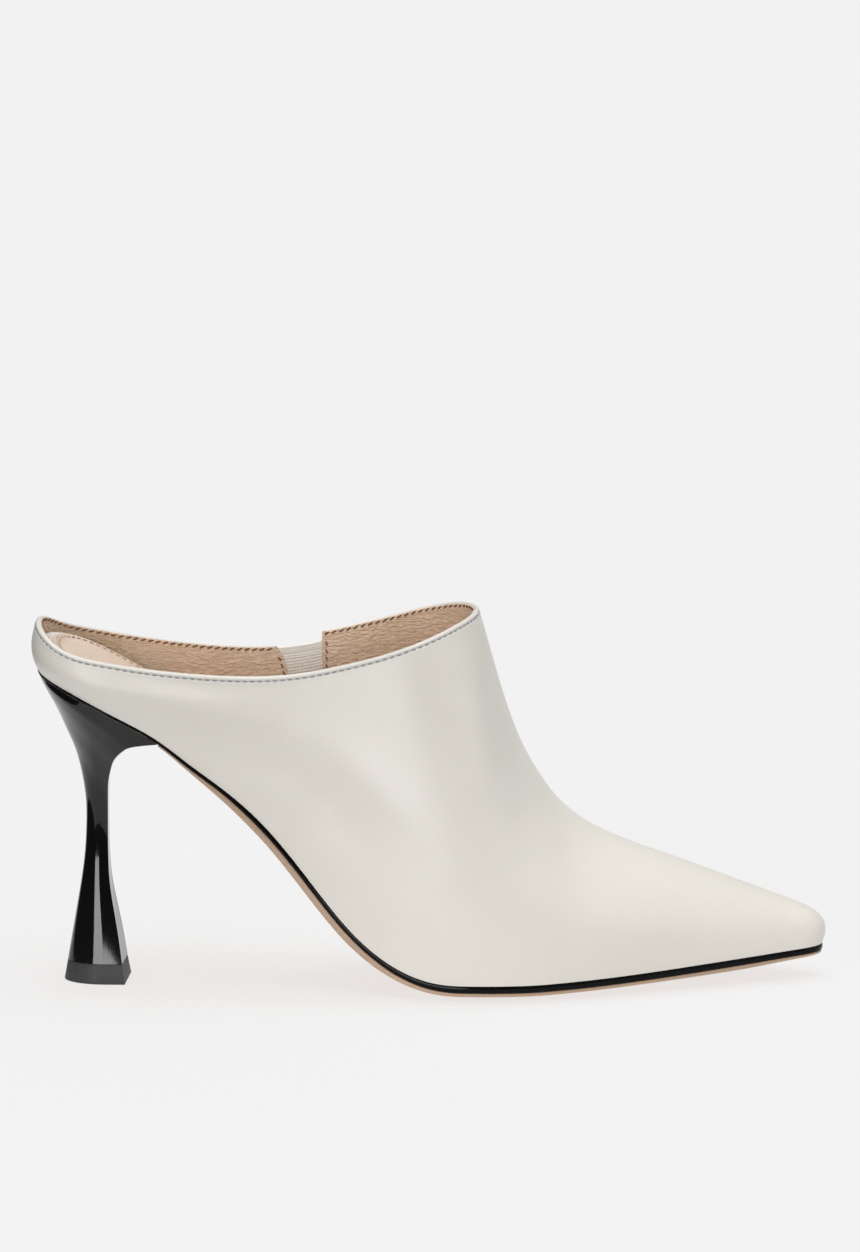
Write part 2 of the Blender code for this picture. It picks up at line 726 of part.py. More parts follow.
def build_insole(collection):
    """The board and its heel cushion, inside the upper's wall."""
    turns = sole_turns(INSOLE_COLUMNS)
    thickness = insole_thickness(rib_x(sole_outline(turns)))
    levels = []
    for share in (0.0, 0.5, 1.0):
        halves = sole_outline(turns, WALL + INSOLE_CLEARANCE, thickness * share)
        x = rib_x(halves)
        z = feather_z(x) + insole_thickness(x) * share
        is_top = share == 1.0
        levels.append(level(halves, z, cushion_dish(x) if is_top else EDGE_LIFT,
                            dish if is_top else sole_sag))
    return stack_levels("insole", levels, collection)


def build_sock_pad(collection):
    """The padded lining on the insole, with the insole's edge showing round it."""
    front = turn_at(SHOE_LENGTH - PAD_FRONT_GAP)
    turns = sole_turns(INSOLE_COLUMNS)
    turns = np.append(turns[turns < front], front)
    thickness = insole_thickness(rib_x(sole_outline(turns)))
    halves = sole_outline(turns, WALL + INSOLE_CLEARANCE + PAD_MARGIN, thickness)
    x = rib_x(halves)
    low = feather_z(x) + insole_thickness(x) + drop(x, GAP)
    return stack_levels("sock_pad", [level(halves, low, cushion_dish(x), dish),
                                     level(halves, low + drop(x, PAD), cushion_dish(x), dish)],
                        collection)


def seat_outline():
    """The heel's outline on the seat, from its back to the breast."""
    turns = np.concatenate([np.linspace(0.0, 1.0, 7, endpoint=False),
                            turn_at(np.linspace(HEEL_CENTRE_X, BREAST_X, 4))])
    return sole_outline(turns, SEAT_INSET)


def heel_ring(seat, back: float, front: float, half_width: float, twist: float):
    """The seat's ribs squeezed between a back and a front and to a half width."""
    seat_back, seat_front = seat[:, :, 0].min(), seat[:, :, 0].max()
    seat_half = np.abs(seat[:, :, 1]).max()
    ring = seat.copy()
    ring[:, :, 0] = back + (seat[:, :, 0] - seat_back) * (front - back) / (seat_front - seat_back)
    ring[:, :, 1] = seat[:, :, 1] * half_width / seat_half
    middle = (back + front) / 2.0
    run, across = ring[:, :, 0] - middle, ring[:, :, 1].copy()
    ring[:, :, 0] = middle + run * np.cos(twist) - across * np.sin(twist)
    ring[:, :, 1] = run * np.sin(twist) + across * np.cos(twist)
    return ring


def build_heel(collection):
    """The heel block, from the cupped seat through its waist to the flared base."""
    halves = seat_outline()
    seat = level(halves, under_rand(rib_x(halves)), EDGE_LIFT)
    base_z = LIFT_HEIGHT + GAP
    seat_back, seat_front = seat[:, :, 0].min(), seat[:, :, 0].max()
    seat_half = np.abs(seat[:, :, 1]).max()
    base_front = HEEL_BASE_BACK_X + HEEL_BASE_LENGTH
    base_share = HEEL_BASE_WIDTH / 2.0 / seat_half
    back = spline_of_heel(lambda row: row.back)
    front = spline_of_heel(lambda row: row.front)
    width = spline_of_heel(lambda row: row.width)
    levels = [seat]
    for row in HEEL[1:]:
        half = seat_half * blend(1.0, base_share, (1.0 - width(row.down)) / (1.0 - HEEL[-1].width))
        ring = heel_ring(seat, blend(seat_back, HEEL_BASE_BACK_X, back(row.down)),
                         blend(seat_front, base_front, front(row.down)),
                         half, HEEL_TWIST * ease(row.down))
        ring[:, :, 2] = blend(seat[:, :, 2], base_z, row.down)
        levels.append(ring)
    return stack_levels("heel_block", levels[::-1], collection)


def spline_of_heel(value: Callable) -> Spline:
    return Spline([row.down for row in HEEL], [value(row) for row in HEEL])


def build_top_lift(collection):
    """The rubber tip, a little wider at the floor than at the heel."""
    halves = seat_outline()
    seat = level(halves, under_rand(rib_x(halves)), EDGE_LIFT)
    levels = []
    for z, grow in ((0.0, LIFT_FLARE), (LIFT_HEIGHT, 0.0)):
        ring = heel_ring(seat, HEEL_BASE_BACK_X - grow, HEEL_BASE_BACK_X + HEEL_BASE_LENGTH + grow,
                         HEEL_BASE_WIDTH / 2.0 + grow, HEEL_TWIST)
        ring[:, :, 2] = z
        levels.append(ring)
    return stack_levels("top_lift", levels, collection)


def finish_of(shape, colour, roughness: float, metallic: float = 0.0):
    """Give a piece its own Principled material."""
    material = bpy.data.materials.new(shape.name + "_finish")
    material.use_nodes = True
    shader = material.node_tree.nodes["Principled BSDF"]
    shader.inputs["Base Color"].default_value = (*colour, 1.0)
    shader.inputs["Roughness"].default_value = roughness
    shader.inputs["Metallic"].default_value = metallic
    shape.data.materials.append(material)


def stand_on_floor(pieces, root):
    """Move the root so that the bottom centre of the shoe's box is the origin."""
    depsgraph = bpy.context.evaluated_depsgraph_get()
    corners = np.array([
        tuple(vertex.co)
        for piece in pieces
        for vertex in piece.evaluated_get(depsgraph).data.vertices
    ])
    low, high = corners.min(axis=0), corners.max(axis=0)
    root.location = (-(low[0] + high[0]) / 2.0, -(low[1] + high[1]) / 2.0, -low[2])


def main():
    for old in list(bpy.data.objects):
        bpy.data.objects.remove(old, do_unlink=True)
    collection = bpy.data.collections.new("heeled_mule")
    bpy.context.scene.collection.children.link(collection)
    root = bpy.data.objects.new("shoe", None)
    collection.objects.link(root)
    finishes = [
        (build_upper, (0.72, 0.69, 0.63), 0.45),
        (build_gore, (0.56, 0.50, 0.42), 0.90),
        (build_insole, (0.78, 0.75, 0.68), 0.50),
        (build_sock_pad, (0.66, 0.50, 0.39), 0.60),
        (build_rand, (0.012, 0.012, 0.013), 0.35),
        (build_outsole, (0.42, 0.30, 0.20), 0.55),
        (build_heel, (0.010, 0.010, 0.011), 0.12),
        (build_top_lift, (0.020, 0.020, 0.021), 0.60),
    ]
    pieces = []
    for build, colour, roughness in finishes:
        piece = build(collection)
        finish_of(piece, colour, roughness)
        piece.parent = root
        pieces.append(piece)
    bpy.context.view_layer.update()
    stand_on_floor(pieces, root)


main()
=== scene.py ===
"""Looks of a heeled mule, a right shoe: leather, lining, seams, soles and a lacquered heel.

Lengths are millimetres in the last's own frame, X from the back of the heel to the toe,
Y to the inner side and Z up from the floor, until Workbench.mesh() turns them to metres
in the shared frame. Every leather and sole piece follows one last: half planes ("rays")
stand round it, and each carries a section of two Bezier curves, from the feather edge
over the belly of the wall to its top.
"""
import logging
from dataclasses import dataclass, field
from enum import Enum
from typing import Callable, NamedTuple, Sequence

import bmesh
import bpy
import numpy as np
from mathutils import Matrix, Vector


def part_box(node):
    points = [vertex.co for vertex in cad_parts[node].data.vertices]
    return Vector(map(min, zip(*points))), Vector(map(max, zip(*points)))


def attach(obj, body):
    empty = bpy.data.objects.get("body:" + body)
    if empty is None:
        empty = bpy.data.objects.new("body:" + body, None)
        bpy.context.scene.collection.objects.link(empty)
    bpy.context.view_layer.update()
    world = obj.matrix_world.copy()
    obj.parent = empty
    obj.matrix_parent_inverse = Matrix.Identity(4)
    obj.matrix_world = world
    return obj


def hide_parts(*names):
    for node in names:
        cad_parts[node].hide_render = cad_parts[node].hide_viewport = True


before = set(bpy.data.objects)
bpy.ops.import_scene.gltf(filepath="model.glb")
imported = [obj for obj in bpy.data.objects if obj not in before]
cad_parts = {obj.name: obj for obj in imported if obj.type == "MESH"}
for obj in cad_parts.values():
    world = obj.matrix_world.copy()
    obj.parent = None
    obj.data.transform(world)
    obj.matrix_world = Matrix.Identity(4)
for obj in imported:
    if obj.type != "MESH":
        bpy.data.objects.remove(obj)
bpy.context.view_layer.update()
LOG = logging.getLogger("mule")
MM = 0.001
BODY = "root"
OUTER_SIDE, INNER_SIDE = -1.0, 1.0
FAR_AWAY = 99.0
COLLAR_SEAM_DROP = 1.5
Array = np.ndarray
Pair = tuple[Array, Array]
Along = Callable[[Array], Array]
Two = tuple[float, float]
Counts = tuple[int, int, int]
Colour = Place = tuple[float, float, float]
Edges = tuple[float, float, float, float]
Object, Socket = bpy.types.Object, bpy.types.NodeSocket


class Width(Enum):
    """The width that a row of the plan takes its shares from."""

    SEAT = "seat_width"
    WAIST = "waist_width"
    BALL = "ball_width"
    TOE = "toe_width"


class PlanRow(NamedTuple):
    """Half widths at the feather edge, as shares of the width that the row names."""

    along: float
    size: Width
    outer: float
    inner: float
    swing: float


class GirthRow(NamedTuple):
    """The bulge beyond the feather edge and how full the section is above it."""

    along: float
    outer: float
    inner: float
    height: float
    side: float
    crown: float


class LineRow(NamedTuple):
    """A height along one line, as a share of the size that the line names."""

    along: float
    share: float


class HeelRow(NamedTuple):
    """One ring of the heel, as shares from the seat's ring to the base's."""

    down: float
    back: float
    front: float
    width: float


PLAN = tuple(PlanRow(*row) for row in (
    (0.000, Width.SEAT, 0.500, 0.500, 0.00), (0.097, Width.SEAT, 0.466, 0.450, 0.00),
    (0.188, Width.WAIST, 0.540, 0.500, 0.00), (0.266, Width.WAIST, 0.530, 0.475, 0.00),
    (0.343, Width.WAIST, 0.632, 0.530, 0.00), (0.420, Width.BALL, 0.414, 0.345, 0.00),
    (0.498, Width.BALL, 0.476, 0.431, 0.03), (0.556, Width.BALL, 0.490, 0.485, 0.10),
    (0.604, Width.BALL, 0.484, 0.505, 0.18), (0.671, Width.BALL, 0.445, 0.487, 0.30),
    (0.749, Width.BALL, 0.380, 0.425, 0.45), (0.845, Width.BALL, 0.281, 0.313, 0.66),
    (0.942, Width.TOE, 0.744, 0.790, 0.88), (1.000, Width.TOE, 0.500, 0.500, 1.00),
))
GIRTH = tuple(GirthRow(*row) for row in (
    (0.000, 0.43, 0.43, 0.26, 0.35, 0.50), (0.097, 0.58, 0.62, 0.36, 0.38, 0.50),
    (0.188, 0.76, 0.88, 0.60, 0.44, 0.48), (0.266, 0.83, 1.08, 0.88, 0.52, 0.47),
    (0.343, 0.78, 1.20, 1.00, 0.60, 0.46), (0.420, 0.68, 1.12, 0.93, 0.62, 0.44),
    (0.498, 0.56, 0.80, 0.77, 0.58, 0.40), (0.556, 0.48, 0.50, 0.60, 0.54, 0.38),
    (0.604, 0.45, 0.43, 0.52, 0.52, 0.39), (0.671, 0.40, 0.40, 0.43, 0.50, 0.41),
    (0.749, 0.34, 0.35, 0.37, 0.48, 0.44), (0.845, 0.25, 0.25, 0.28, 0.48, 0.46),
    (0.942, 0.17, 0.17, 0.20, 0.50, 0.48), (1.000, 0.13, 0.13, 0.15, 0.52, 0.50),
))
# Rise of the feather edge from the tread (0) to the back of the seat (1)
ARCH = tuple(LineRow(*row) for row in (
    (0.000, 1.000), (0.052, 0.974), (0.090, 0.952), (0.147, 0.914), (0.204, 0.872),
    (0.284, 0.806), (0.360, 0.722), (0.454, 0.618), (0.548, 0.489), (0.644, 0.322),
    (0.738, 0.164), (0.833, 0.059), (0.927, 0.009), (1.000, 0.000),
))
# Sag of the collar under the straight line from its back (0) to the throat (1)
COLLAR = tuple(LineRow(*row) for row in (
    (0.000, 0.000), (0.050, 0.290), (0.141, 0.550), (0.256, 0.755), (0.411, 0.945),
    (0.520, 1.000), (0.620, 0.935), (0.686, 0.815), (0.778, 0.605), (0.868, 0.355),
    (0.913, 0.225), (0.960, 0.090), (1.000, 0.000),
))
# Top of each section: -1 at the heel's centre, 0 at the throat, 1 at the toe's centre
TOP = tuple(LineRow(*row) for row in (
    (-1.000, 1.190), (-0.820, 1.450), (-0.650, 1.690), (-0.488, 1.734), (-0.381, 1.640),
    (-0.269, 1.527), (-0.160, 1.385), (-0.105, 1.262), (-0.049, 1.138), (0.000, 1.000),
    (0.070, 0.735), (0.135, 0.540), (0.199, 0.421), (0.263, 0.336), (0.327, 0.281),
    (0.456, 0.212), (0.644, 0.140), (0.840, 0.063), (1.000, 0.000),
))
HEEL = tuple(HeelRow(*row) for row in (
    (0.000, 0.000, 0.000, 1.000), (0.008, 0.035, 0.420, 0.955), (0.020, 0.090, 0.800, 0.905),
    (0.033, 0.158, 0.950, 0.858), (0.050, 0.250, 1.070, 0.800), (0.066, 0.344, 1.165, 0.749),
    (0.085, 0.460, 1.250, 0.690), (0.108, 0.585, 1.312, 0.623), (0.130, 0.700, 1.350, 0.565),
    (0.190, 0.985, 1.425, 0.435), (0.260, 1.300, 1.450, 0.320), (0.340, 1.530, 1.455, 0.240),
    (0.430, 1.680, 1.455, 0.205), (0.530, 1.700, 1.445, 0.200), (0.640, 1.625, 1.400, 0.225),
    (0.760, 1.440, 1.270, 0.270), (0.880, 1.220, 1.120, 0.318), (1.000, 1.000, 1.000, 0.360),
))


class Spline:
    """A smooth curve through places and values, as a cubic between each two of them."""

    def __init__(self, places: Sequence[float], values: Sequence[float], level_end: bool = False) -> None:
        """Solve the slopes that make the curve's bend run on through every place.

        Args:
            places: rising places.
            values: the value at each place.
            level_end: whether the curve ends level.
        """
        self.x = np.asarray(places, float)
        self.y = np.asarray(values, float)
        steps = np.diff(self.x)
        rises = np.diff(self.y) / steps
        count = len(self.x)
        matrix = np.zeros((count, count))
        right = np.zeros(count)
        matrix[0, 0:2] = 2.0, 1.0
        right[0] = 3.0 * rises[0]
        matrix[-1, -2:] = (0.0, 1.0) if level_end else (1.0, 2.0)
        right[-1] = 0.0 if level_end else 3.0 * rises[-1]
        for i in range(1, count - 1):
            matrix[i, i - 1] = steps[i]
            matrix[i, i] = 2.0 * (steps[i - 1] + steps[i])
            matrix[i, i + 1] = steps[i - 1]
            right[i] = 3.0 * (steps[i] * rises[i - 1] + steps[i - 1] * rises[i])
        self.slopes = np.linalg.solve(matrix, right)

    def __call__(self, place: Array) -> Array:
        """Value at each place: the Hermite cubic between the two places around it.

        Args:
            place: any array of places, held to the curve's ends.

        Returns:
            An array of the same shape.
        """
        place = np.clip(place, self.x[0], self.x[-1])
        i = np.clip(np.searchsorted(self.x, place) - 1, 0, len(self.x) - 2)
        step = self.x[i + 1] - self.x[i]
        t = (place - self.x[i]) / step
        start, end = self.y[i], self.y[i + 1]
        rise_in, rise_out = self.slopes[i] * step, self.slopes[i + 1] * step
        return (start * (1 + 2 * t) * (1 - t) ** 2 + rise_in * t * (1 - t) ** 2
                + end * t * t * (3 - 2 * t) + rise_out * t * t * (t - 1))


def ease(share: Array) -> Array:
    """0 to 1 with level ends: three times the square less twice the cube."""
    share = np.clip(share, 0.0, 1.0)
    return share * share * (3.0 - 2.0 * share)


def blend(start: Array, end: Array, share: Array) -> Array:
    """The straight mix of start and end."""
    return start + (end - start) * share


class Ramp(NamedTuple):
    """An eased rise from 0 to 1: where it starts and how far it runs, backwards if negative."""

    start: float
    run: float

    def at(self, place: Array) -> Array:
        """Its height at places."""
        return ease((place - self.start) / self.run)


def hump(distance: Array, centre: float, reach: float) -> Array:
    """A bell curve: e to the minus square of the distance from centre over reach."""
    return np.exp(-((distance - centre) / reach) ** 2)


def bezier(controls: Array, t: Array) -> Array:
    """A cubic Bezier curve: its four controls weighed by the Bernstein cubics of t."""
    a, b, c, d = controls
    s = 1.0 - t
    return a * s ** 3 + 3.0 * b * t * s * s + 3.0 * c * t * t * s + d * t ** 3


def unit(vectors: Array) -> Array:
    """Vectors over their own lengths."""
    return vectors / np.maximum(np.linalg.norm(vectors, axis=-1, keepdims=True), 1e-12)


def place_in(keys: Array, wanted: Array) -> Array:
    """Where each wanted value lies in its own rising row of keys.

    Args:
        keys: rising values along the last axis.
        wanted: one value for each row of keys.

    Returns:
        The fractional index, linear between two keys.
    """
    below = np.clip((keys < wanted[..., None]).sum(axis=-1) - 1, 0, keys.shape[-1] - 2)[..., None]
    low = np.take_along_axis(keys, below, -1)[..., 0]
    high = np.take_along_axis(keys, below + 1, -1)[..., 0]
    return below[..., 0] + np.clip((wanted - low) / np.maximum(high - low, 1e-9), 0.0, 1.0)


def read_at(values: Array, place: Array) -> Array:
    """Each row's value at its own fractional index, linear between two values."""
    below = np.clip(place.astype(int), 0, values.shape[-1] - 2)[..., None]
    low = np.take_along_axis(values, below, -1)[..., 0]
    high = np.take_along_axis(values, below + 1, -1)[..., 0]
    return blend(low, high, place - below[..., 0])


def distance_to_line(points: Array, line: Array) -> Array:
    """Distance from each point to the nearest segment of a line.

    Each point is dropped square on each segment, held to the segment's ends.

    Args:
        points: an array whose last axis is X, Y, Z.
        line: the line's own points in order.

    Returns:
        One distance for each point.
    """
    flat = points.reshape(-1, 3)
    start, run = line[:-1], np.diff(line, axis=0)
    square = np.maximum((run * run).sum(axis=-1), 1e-12)
    found = []
    for part in np.array_split(flat, max(1, len(flat) // 3000)):
        away = part[:, None, :] - start[None, :, :]
        share = np.clip((away * run[None]).sum(axis=-1) / square[None], 0.0, 1.0)
        away = away - share[..., None] * run[None]
        found.append(np.sqrt((away * away).sum(axis=-1).min(axis=1)))
    return np.concatenate(found).reshape(points.shape[:-1])


@dataclass
class Last:
    """The last that every piece follows: its sizes, and the lines worked out from them."""

    length: float = 244.0
    heel_height: float = 97.4
    seat_width: float = 48.5
    waist_width: float = 37.2
    ball_width: float = 71.0
    toe_width: float = 17.2
    toe_depth: float = 11.0
    toe_swing: float = 5.0
    toe_rise: float = 5.45
    back_inset: float = 2.0
    heel_centre_x: float = 25.5
    tread_start_x: float = 131.5
    tread_length: float = 20.0
    vamp_length: float = 107.1
    seat_squareness: float = 2.0
    cup_squareness: float = 2.5
    toe_squareness: float = 4.0
    toe_side_taper: float = 0.36
    toe_tip_inset: float = 0.9
    toe_top_slope: float = -0.40
    counter_height: float = 15.4
    throat_over_seat: float = 19.1
    collar_dip: float = 15.0
    toe_box_height: float = 13.6
    bulge_out: float = 8.0
    bulge_height_size: float = 30.0
    back_bulge_share: float = 0.25
    inner_collar_lift: float = 2.5
    feather_flare: float = 0.5
    feather_rise: float = 0.28
    bulge_handle: float = 0.4
    gore_back_x: float = 74.9
    gore_width: float = 13.8
    gore_depth: float = 30.0
    toe_spring_power: float = 1.42
    gap: float = 0.3
    wall: float = 1.8
    outsole: float = 1.2
    outsole_at_breast: float = 0.3
    outsole_at_toe: float = 0.9
    rand: float = 1.6
    rand_at_heel: float = 0.5
    rand_at_toe: float = 1.3
    edge_lift: float = 1.6
    curl_share: float = 0.32
    skive_length: float = 30.0
    toe_skive_length: float = 45.0
    breast_x: float = 38.8

    def __post_init__(self) -> None:
        """Work out the places and splines that follow from the sizes."""
        self.throat_x = self.length - self.vamp_length
        self.toe_centre_x = self.length - self.toe_depth
        self.gore_front_x = self.gore_back_x + self.gore_width
        self.tread_end_x = self.tread_start_x + self.tread_length
        self.stack = self.outsole + self.rand + 2.0 * self.gap + self.edge_lift
        self.toe_top = self.stack + self.toe_rise + self.toe_box_height
        self.throat_height = self.heel_height + self.throat_over_seat
        plan = [row.along for row in PLAN]
        girth = [row.along for row in GIRTH]
        widths = [getattr(self, row.size.value) for row in PLAN]
        self.outer_width = Spline(plan, [w * row.outer for w, row in zip(widths, PLAN)])
        self.inner_width = Spline(plan, [w * row.inner for w, row in zip(widths, PLAN)])
        self.swing = Spline(plan, [self.toe_swing * row.swing for row in PLAN])
        self.outer_bulge = Spline(girth, [self.bulge_out * row.outer for row in GIRTH])
        self.inner_bulge = Spline(girth, [self.bulge_out * row.inner for row in GIRTH])
        self.bulge_height = Spline(girth, [self.bulge_height_size * row.height for row in GIRTH])
        self.side_fullness = Spline(girth, [row.side for row in GIRTH])
        self.crown_fullness = Spline(girth, [row.crown for row in GIRTH])
        self.arch = Spline(*zip(*ARCH), level_end=True)
        self.collar_sag = Spline(*zip(*COLLAR))
        self.top_share = Spline(*zip(*TOP))

    def feather_z(self, x: Array) -> Array:
        """Height of the feather edge: the arch behind the tread and the toe spring before it."""
        rear = self.arch((x - self.back_inset) / (self.tread_start_x - self.back_inset))
        front = np.clip((x - self.tread_end_x) / (self.length - self.tread_end_x), 0.0, 1.0)
        spring = self.toe_rise * front ** self.toe_spring_power
        return self.stack + (self.heel_height - self.stack) * rear + spring

    def drop(self, x: Array, thickness: Array) -> Array:
        """How far down a layer reaches, square to the sole: thickness over the slope's cosine."""
        step = 0.5
        slope = (self.feather_z(x + step) - self.feather_z(x - step)) / (2.0 * step)
        return thickness * np.sqrt(1.0 + slope * slope)

    def skived(self, x: Array, at_heel: float, middle: float, at_toe: float) -> Array:
        """A sole layer's thickness, eased from its heel value to the middle one and to the toe's."""
        rear = blend(at_heel, middle, ease((x - self.breast_x) / self.skive_length))
        start = self.length - self.toe_skive_length
        return rear + (at_toe - middle) * ease((x - start) / self.toe_skive_length)

    def rand_thickness(self, x: Array) -> Array:
        """Thickness of the rand along the shoe."""
        return self.skived(x, self.rand_at_heel, self.rand, self.rand_at_toe)

    def outsole_thickness(self, x: Array) -> Array:
        """Thickness of the outsole along the shoe."""
        return self.skived(x, self.outsole_at_breast, self.outsole, self.outsole_at_toe)

    def under_rand(self, x: Array) -> Array:
        """Height of what seats under the rand."""
        return self.feather_z(x) - self.drop(x, 2.0 * self.gap + self.rand_thickness(x))

    def inner_lift(self, x: Array) -> Array:
        """How much higher the inner side of the collar runs: a step at the gore that fades to the throat."""
        up = ease((x - self.gore_back_x) / self.gore_width)
        fade = np.clip((self.throat_x - x) / (self.throat_x - self.gore_front_x), 0.0, 1.0)
        return self.inner_collar_lift * np.minimum(up, fade)

    def collar_z(self, x: Array, side: Array) -> Array:
        """Height of the collar's edge: a straight line less its sag, and the inner side's step."""
        along = np.clip(x / self.throat_x, 0.0, 1.0)
        straight = blend(self.heel_height + self.counter_height, self.throat_height, along)
        lift = np.where(side > 0.0, self.inner_lift(x), 0.0)
        return straight - self.collar_sag(along) * self.collar_dip + lift

    def top_z(self, x: Array) -> Array:
        """Height of a section's top: the vamp's ridge, or where the section would close behind it."""
        behind, before = self.throat_x - self.heel_centre_x, self.toe_centre_x - self.throat_x
        reach = np.where(x < self.throat_x, behind, before)
        share = self.top_share(np.clip((x - self.throat_x) / reach, -1.0, 1.0))
        return blend(self.toe_top, self.throat_height, share)

    def throat_at(self, lowered: float) -> float:
        """Where a line parallel to the collar, lowered by some millimetres, meets the vamp's ridge."""
        x = np.linspace(self.throat_x - 1.0, self.throat_x + 12.0, 2600)
        over = self.collar_z(x, OUTER_SIDE) - lowered - self.top_z(x)
        return float(np.interp(0.0, over, x))

    def turn_at(self, x: Array) -> Array:
        """The ray that stands at a place between the two centres."""
        return 1.0 + (x - self.heel_centre_x) / (self.toe_centre_x - self.heel_centre_x)


class Rays:
    """Half planes round the last, with the section that each carries.

    turn runs from 0 at the back over 1 at the heel's centre and 2 at the toe's centre to
    3 at the tip. In the two ends the rays fan out from a centre, and between them they
    stand square to the shoe's length.
    """

    SAMPLES = 40

    def __init__(self, last: Last, side: Array, turn: Array, lowered: float = 0.0) -> None:
        """Work out each ray's foot, belly, top and cut.

        Args:
            last: the last.
            side: -1 on the outer side and 1 on the inner one.
            turn: the rays, an array of any shape.
            lowered: how far under the collar's edge the sections are cut.
        """
        turn, side = np.broadcast_arrays(np.asarray(turn, float), np.asarray(side, float))
        heel = np.clip(1.0 - turn, 0.0, 1.0) * np.pi / 2
        toe = np.clip(turn - 2.0, 0.0, 1.0) * np.pi / 2
        along = np.clip(turn - 1.0, 0.0, 1.0)
        is_outer = side < 0.0
        width = np.where(is_outer, last.outer_width(along), last.inner_width(along))
        bulge = np.where(is_outer, last.outer_bulge(along), last.inner_bulge(along))
        self.last = last
        self.centre_x = blend(last.heel_centre_x, last.toe_centre_x, along)
        self.centre_y = last.swing(along)
        self.dir_x = np.sin(toe) - np.sin(heel)
        self.dir_y = side * np.cos(toe) * np.cos(heel)
        seat_depth = last.heel_centre_x - last.back_inset
        cup_depth = seat_depth + last.bulge_out * last.back_bulge_share
        foot = self.reach(width, seat_depth, last.seat_squareness, heel, toe, 0.0)
        belly = self.reach(width + bulge, cup_depth, last.cup_squareness, heel, toe, bulge)
        foot_z = last.feather_z(self.centre_x + self.dir_x * foot)
        belly_z = foot_z + last.bulge_height(along)
        top = last.top_z(self.centre_x)
        crown = belly * last.crown_fullness(along)
        up, rise = belly_z - foot_z, top - belly_z
        self.foot, self.foot_z = foot, foot_z
        self.low_r = np.stack([foot, foot + last.feather_flare * (belly - foot), belly, belly])
        self.low_z = np.stack([foot_z, foot_z + last.feather_rise * up,
                               belly_z - last.bulge_handle * up, belly_z])
        self.high_r = np.stack([belly, belly, crown, 0.0 * belly])
        self.high_z = np.stack([belly_z, belly_z + rise * last.side_fullness(along),
                                top + crown * last.toe_top_slope * np.sin(toe), top])
        self.is_cut = self.centre_x < last.throat_at(lowered) - 1e-6
        self.cut_z = last.collar_z(self.centre_x + self.dir_x * belly, side) - lowered

    def reach(self, width: Array, heel_depth: float, squareness: float,
              heel: Array, toe: Array, grow: Array) -> Array:
        """Distance from the centre to the outline: superellipses, round behind and snipped in front.

        Args:
            width: half width at the ray's centre.
            heel_depth: how far the back lies behind the heel's centre.
            squareness: power of the back's superellipse.
            heel: turn of the ray into the back, in radians.
            toe: turn of the ray into the toe, in radians.
            grow: how far the toe reaches past the last's tip.

        Returns:
            One distance for each ray.
        """
        last = self.last
        back = (np.sin(heel) / heel_depth) ** squareness
        side = (np.cos(heel) / width) ** squareness
        round_end = (back + side) ** (-1.0 / squareness)
        flank = (np.cos(toe) + last.toe_side_taper * np.sin(toe)) / width
        front = np.sin(toe) / (last.toe_depth - last.toe_tip_inset + grow)
        power = last.toe_squareness
        return np.where(toe > 0.0, (flank ** power + front ** power) ** (-1.0 / power), round_end)

    def at(self, radius: Array, height: Array) -> Array:
        """Points at a radius and a height on each ray."""
        return np.stack([self.centre_x + self.dir_x * radius, self.centre_y + self.dir_y * radius,
                         height], axis=-1)

    def tables(self) -> tuple[Array, Array, Array]:
        """Radii, heights and running lengths along each section, on a last axis."""
        t = np.linspace(0.0, 1.0, self.SAMPLES)
        low_r, low_z = bezier(self.low_r[..., None], t), bezier(self.low_z[..., None], t)
        high_r, high_z = bezier(self.high_r[..., None], t), bezier(self.high_z[..., None], t)
        radii = np.concatenate([low_r[..., :-1], high_r], axis=-1)
        heights = np.concatenate([low_z[..., :-1], high_z], axis=-1)
        run = np.cumsum(np.hypot(np.diff(radii, axis=-1), np.diff(heights, axis=-1)), axis=-1)
        return radii, heights, np.concatenate([np.zeros(run.shape[:-1] + (1,)), run], axis=-1)

    def on_curve(self, place: Array) -> Array:
        """Points of the exact curves at a fractional index of the tables."""
        steps = self.SAMPLES - 1
        is_high = place >= steps
        t = np.clip(np.where(is_high, place - steps, place) / steps, 0.0, 1.0)
        radius = np.where(is_high, bezier(self.high_r, t), bezier(self.low_r, t))
        height = np.where(is_high, bezier(self.high_z, t), bezier(self.low_z, t))
        return self.at(radius, height)

    def wall_points(self, length_of: Along) -> Array:
        """Points on the wall, one a ray.

        Args:
            length_of: takes each section's whole length and gives the length to go up it.

        Returns:
            An array with X, Y, Z on a last axis.
        """
        _, heights, run = self.tables()
        cut = read_at(run, place_in(heights, self.cut_z))
        full = np.where(self.is_cut, cut, run[..., -1])
        return self.on_curve(place_in(run, length_of(full)))

    def ring(self, over_feather: Array) -> Array:
        """Points on the wall at a height over the feather edge."""
        _, heights, _ = self.tables()
        points = self.on_curve(place_in(heights, self.foot_z + over_feather))
        points[..., 2] = self.foot_z + over_feather
        return points


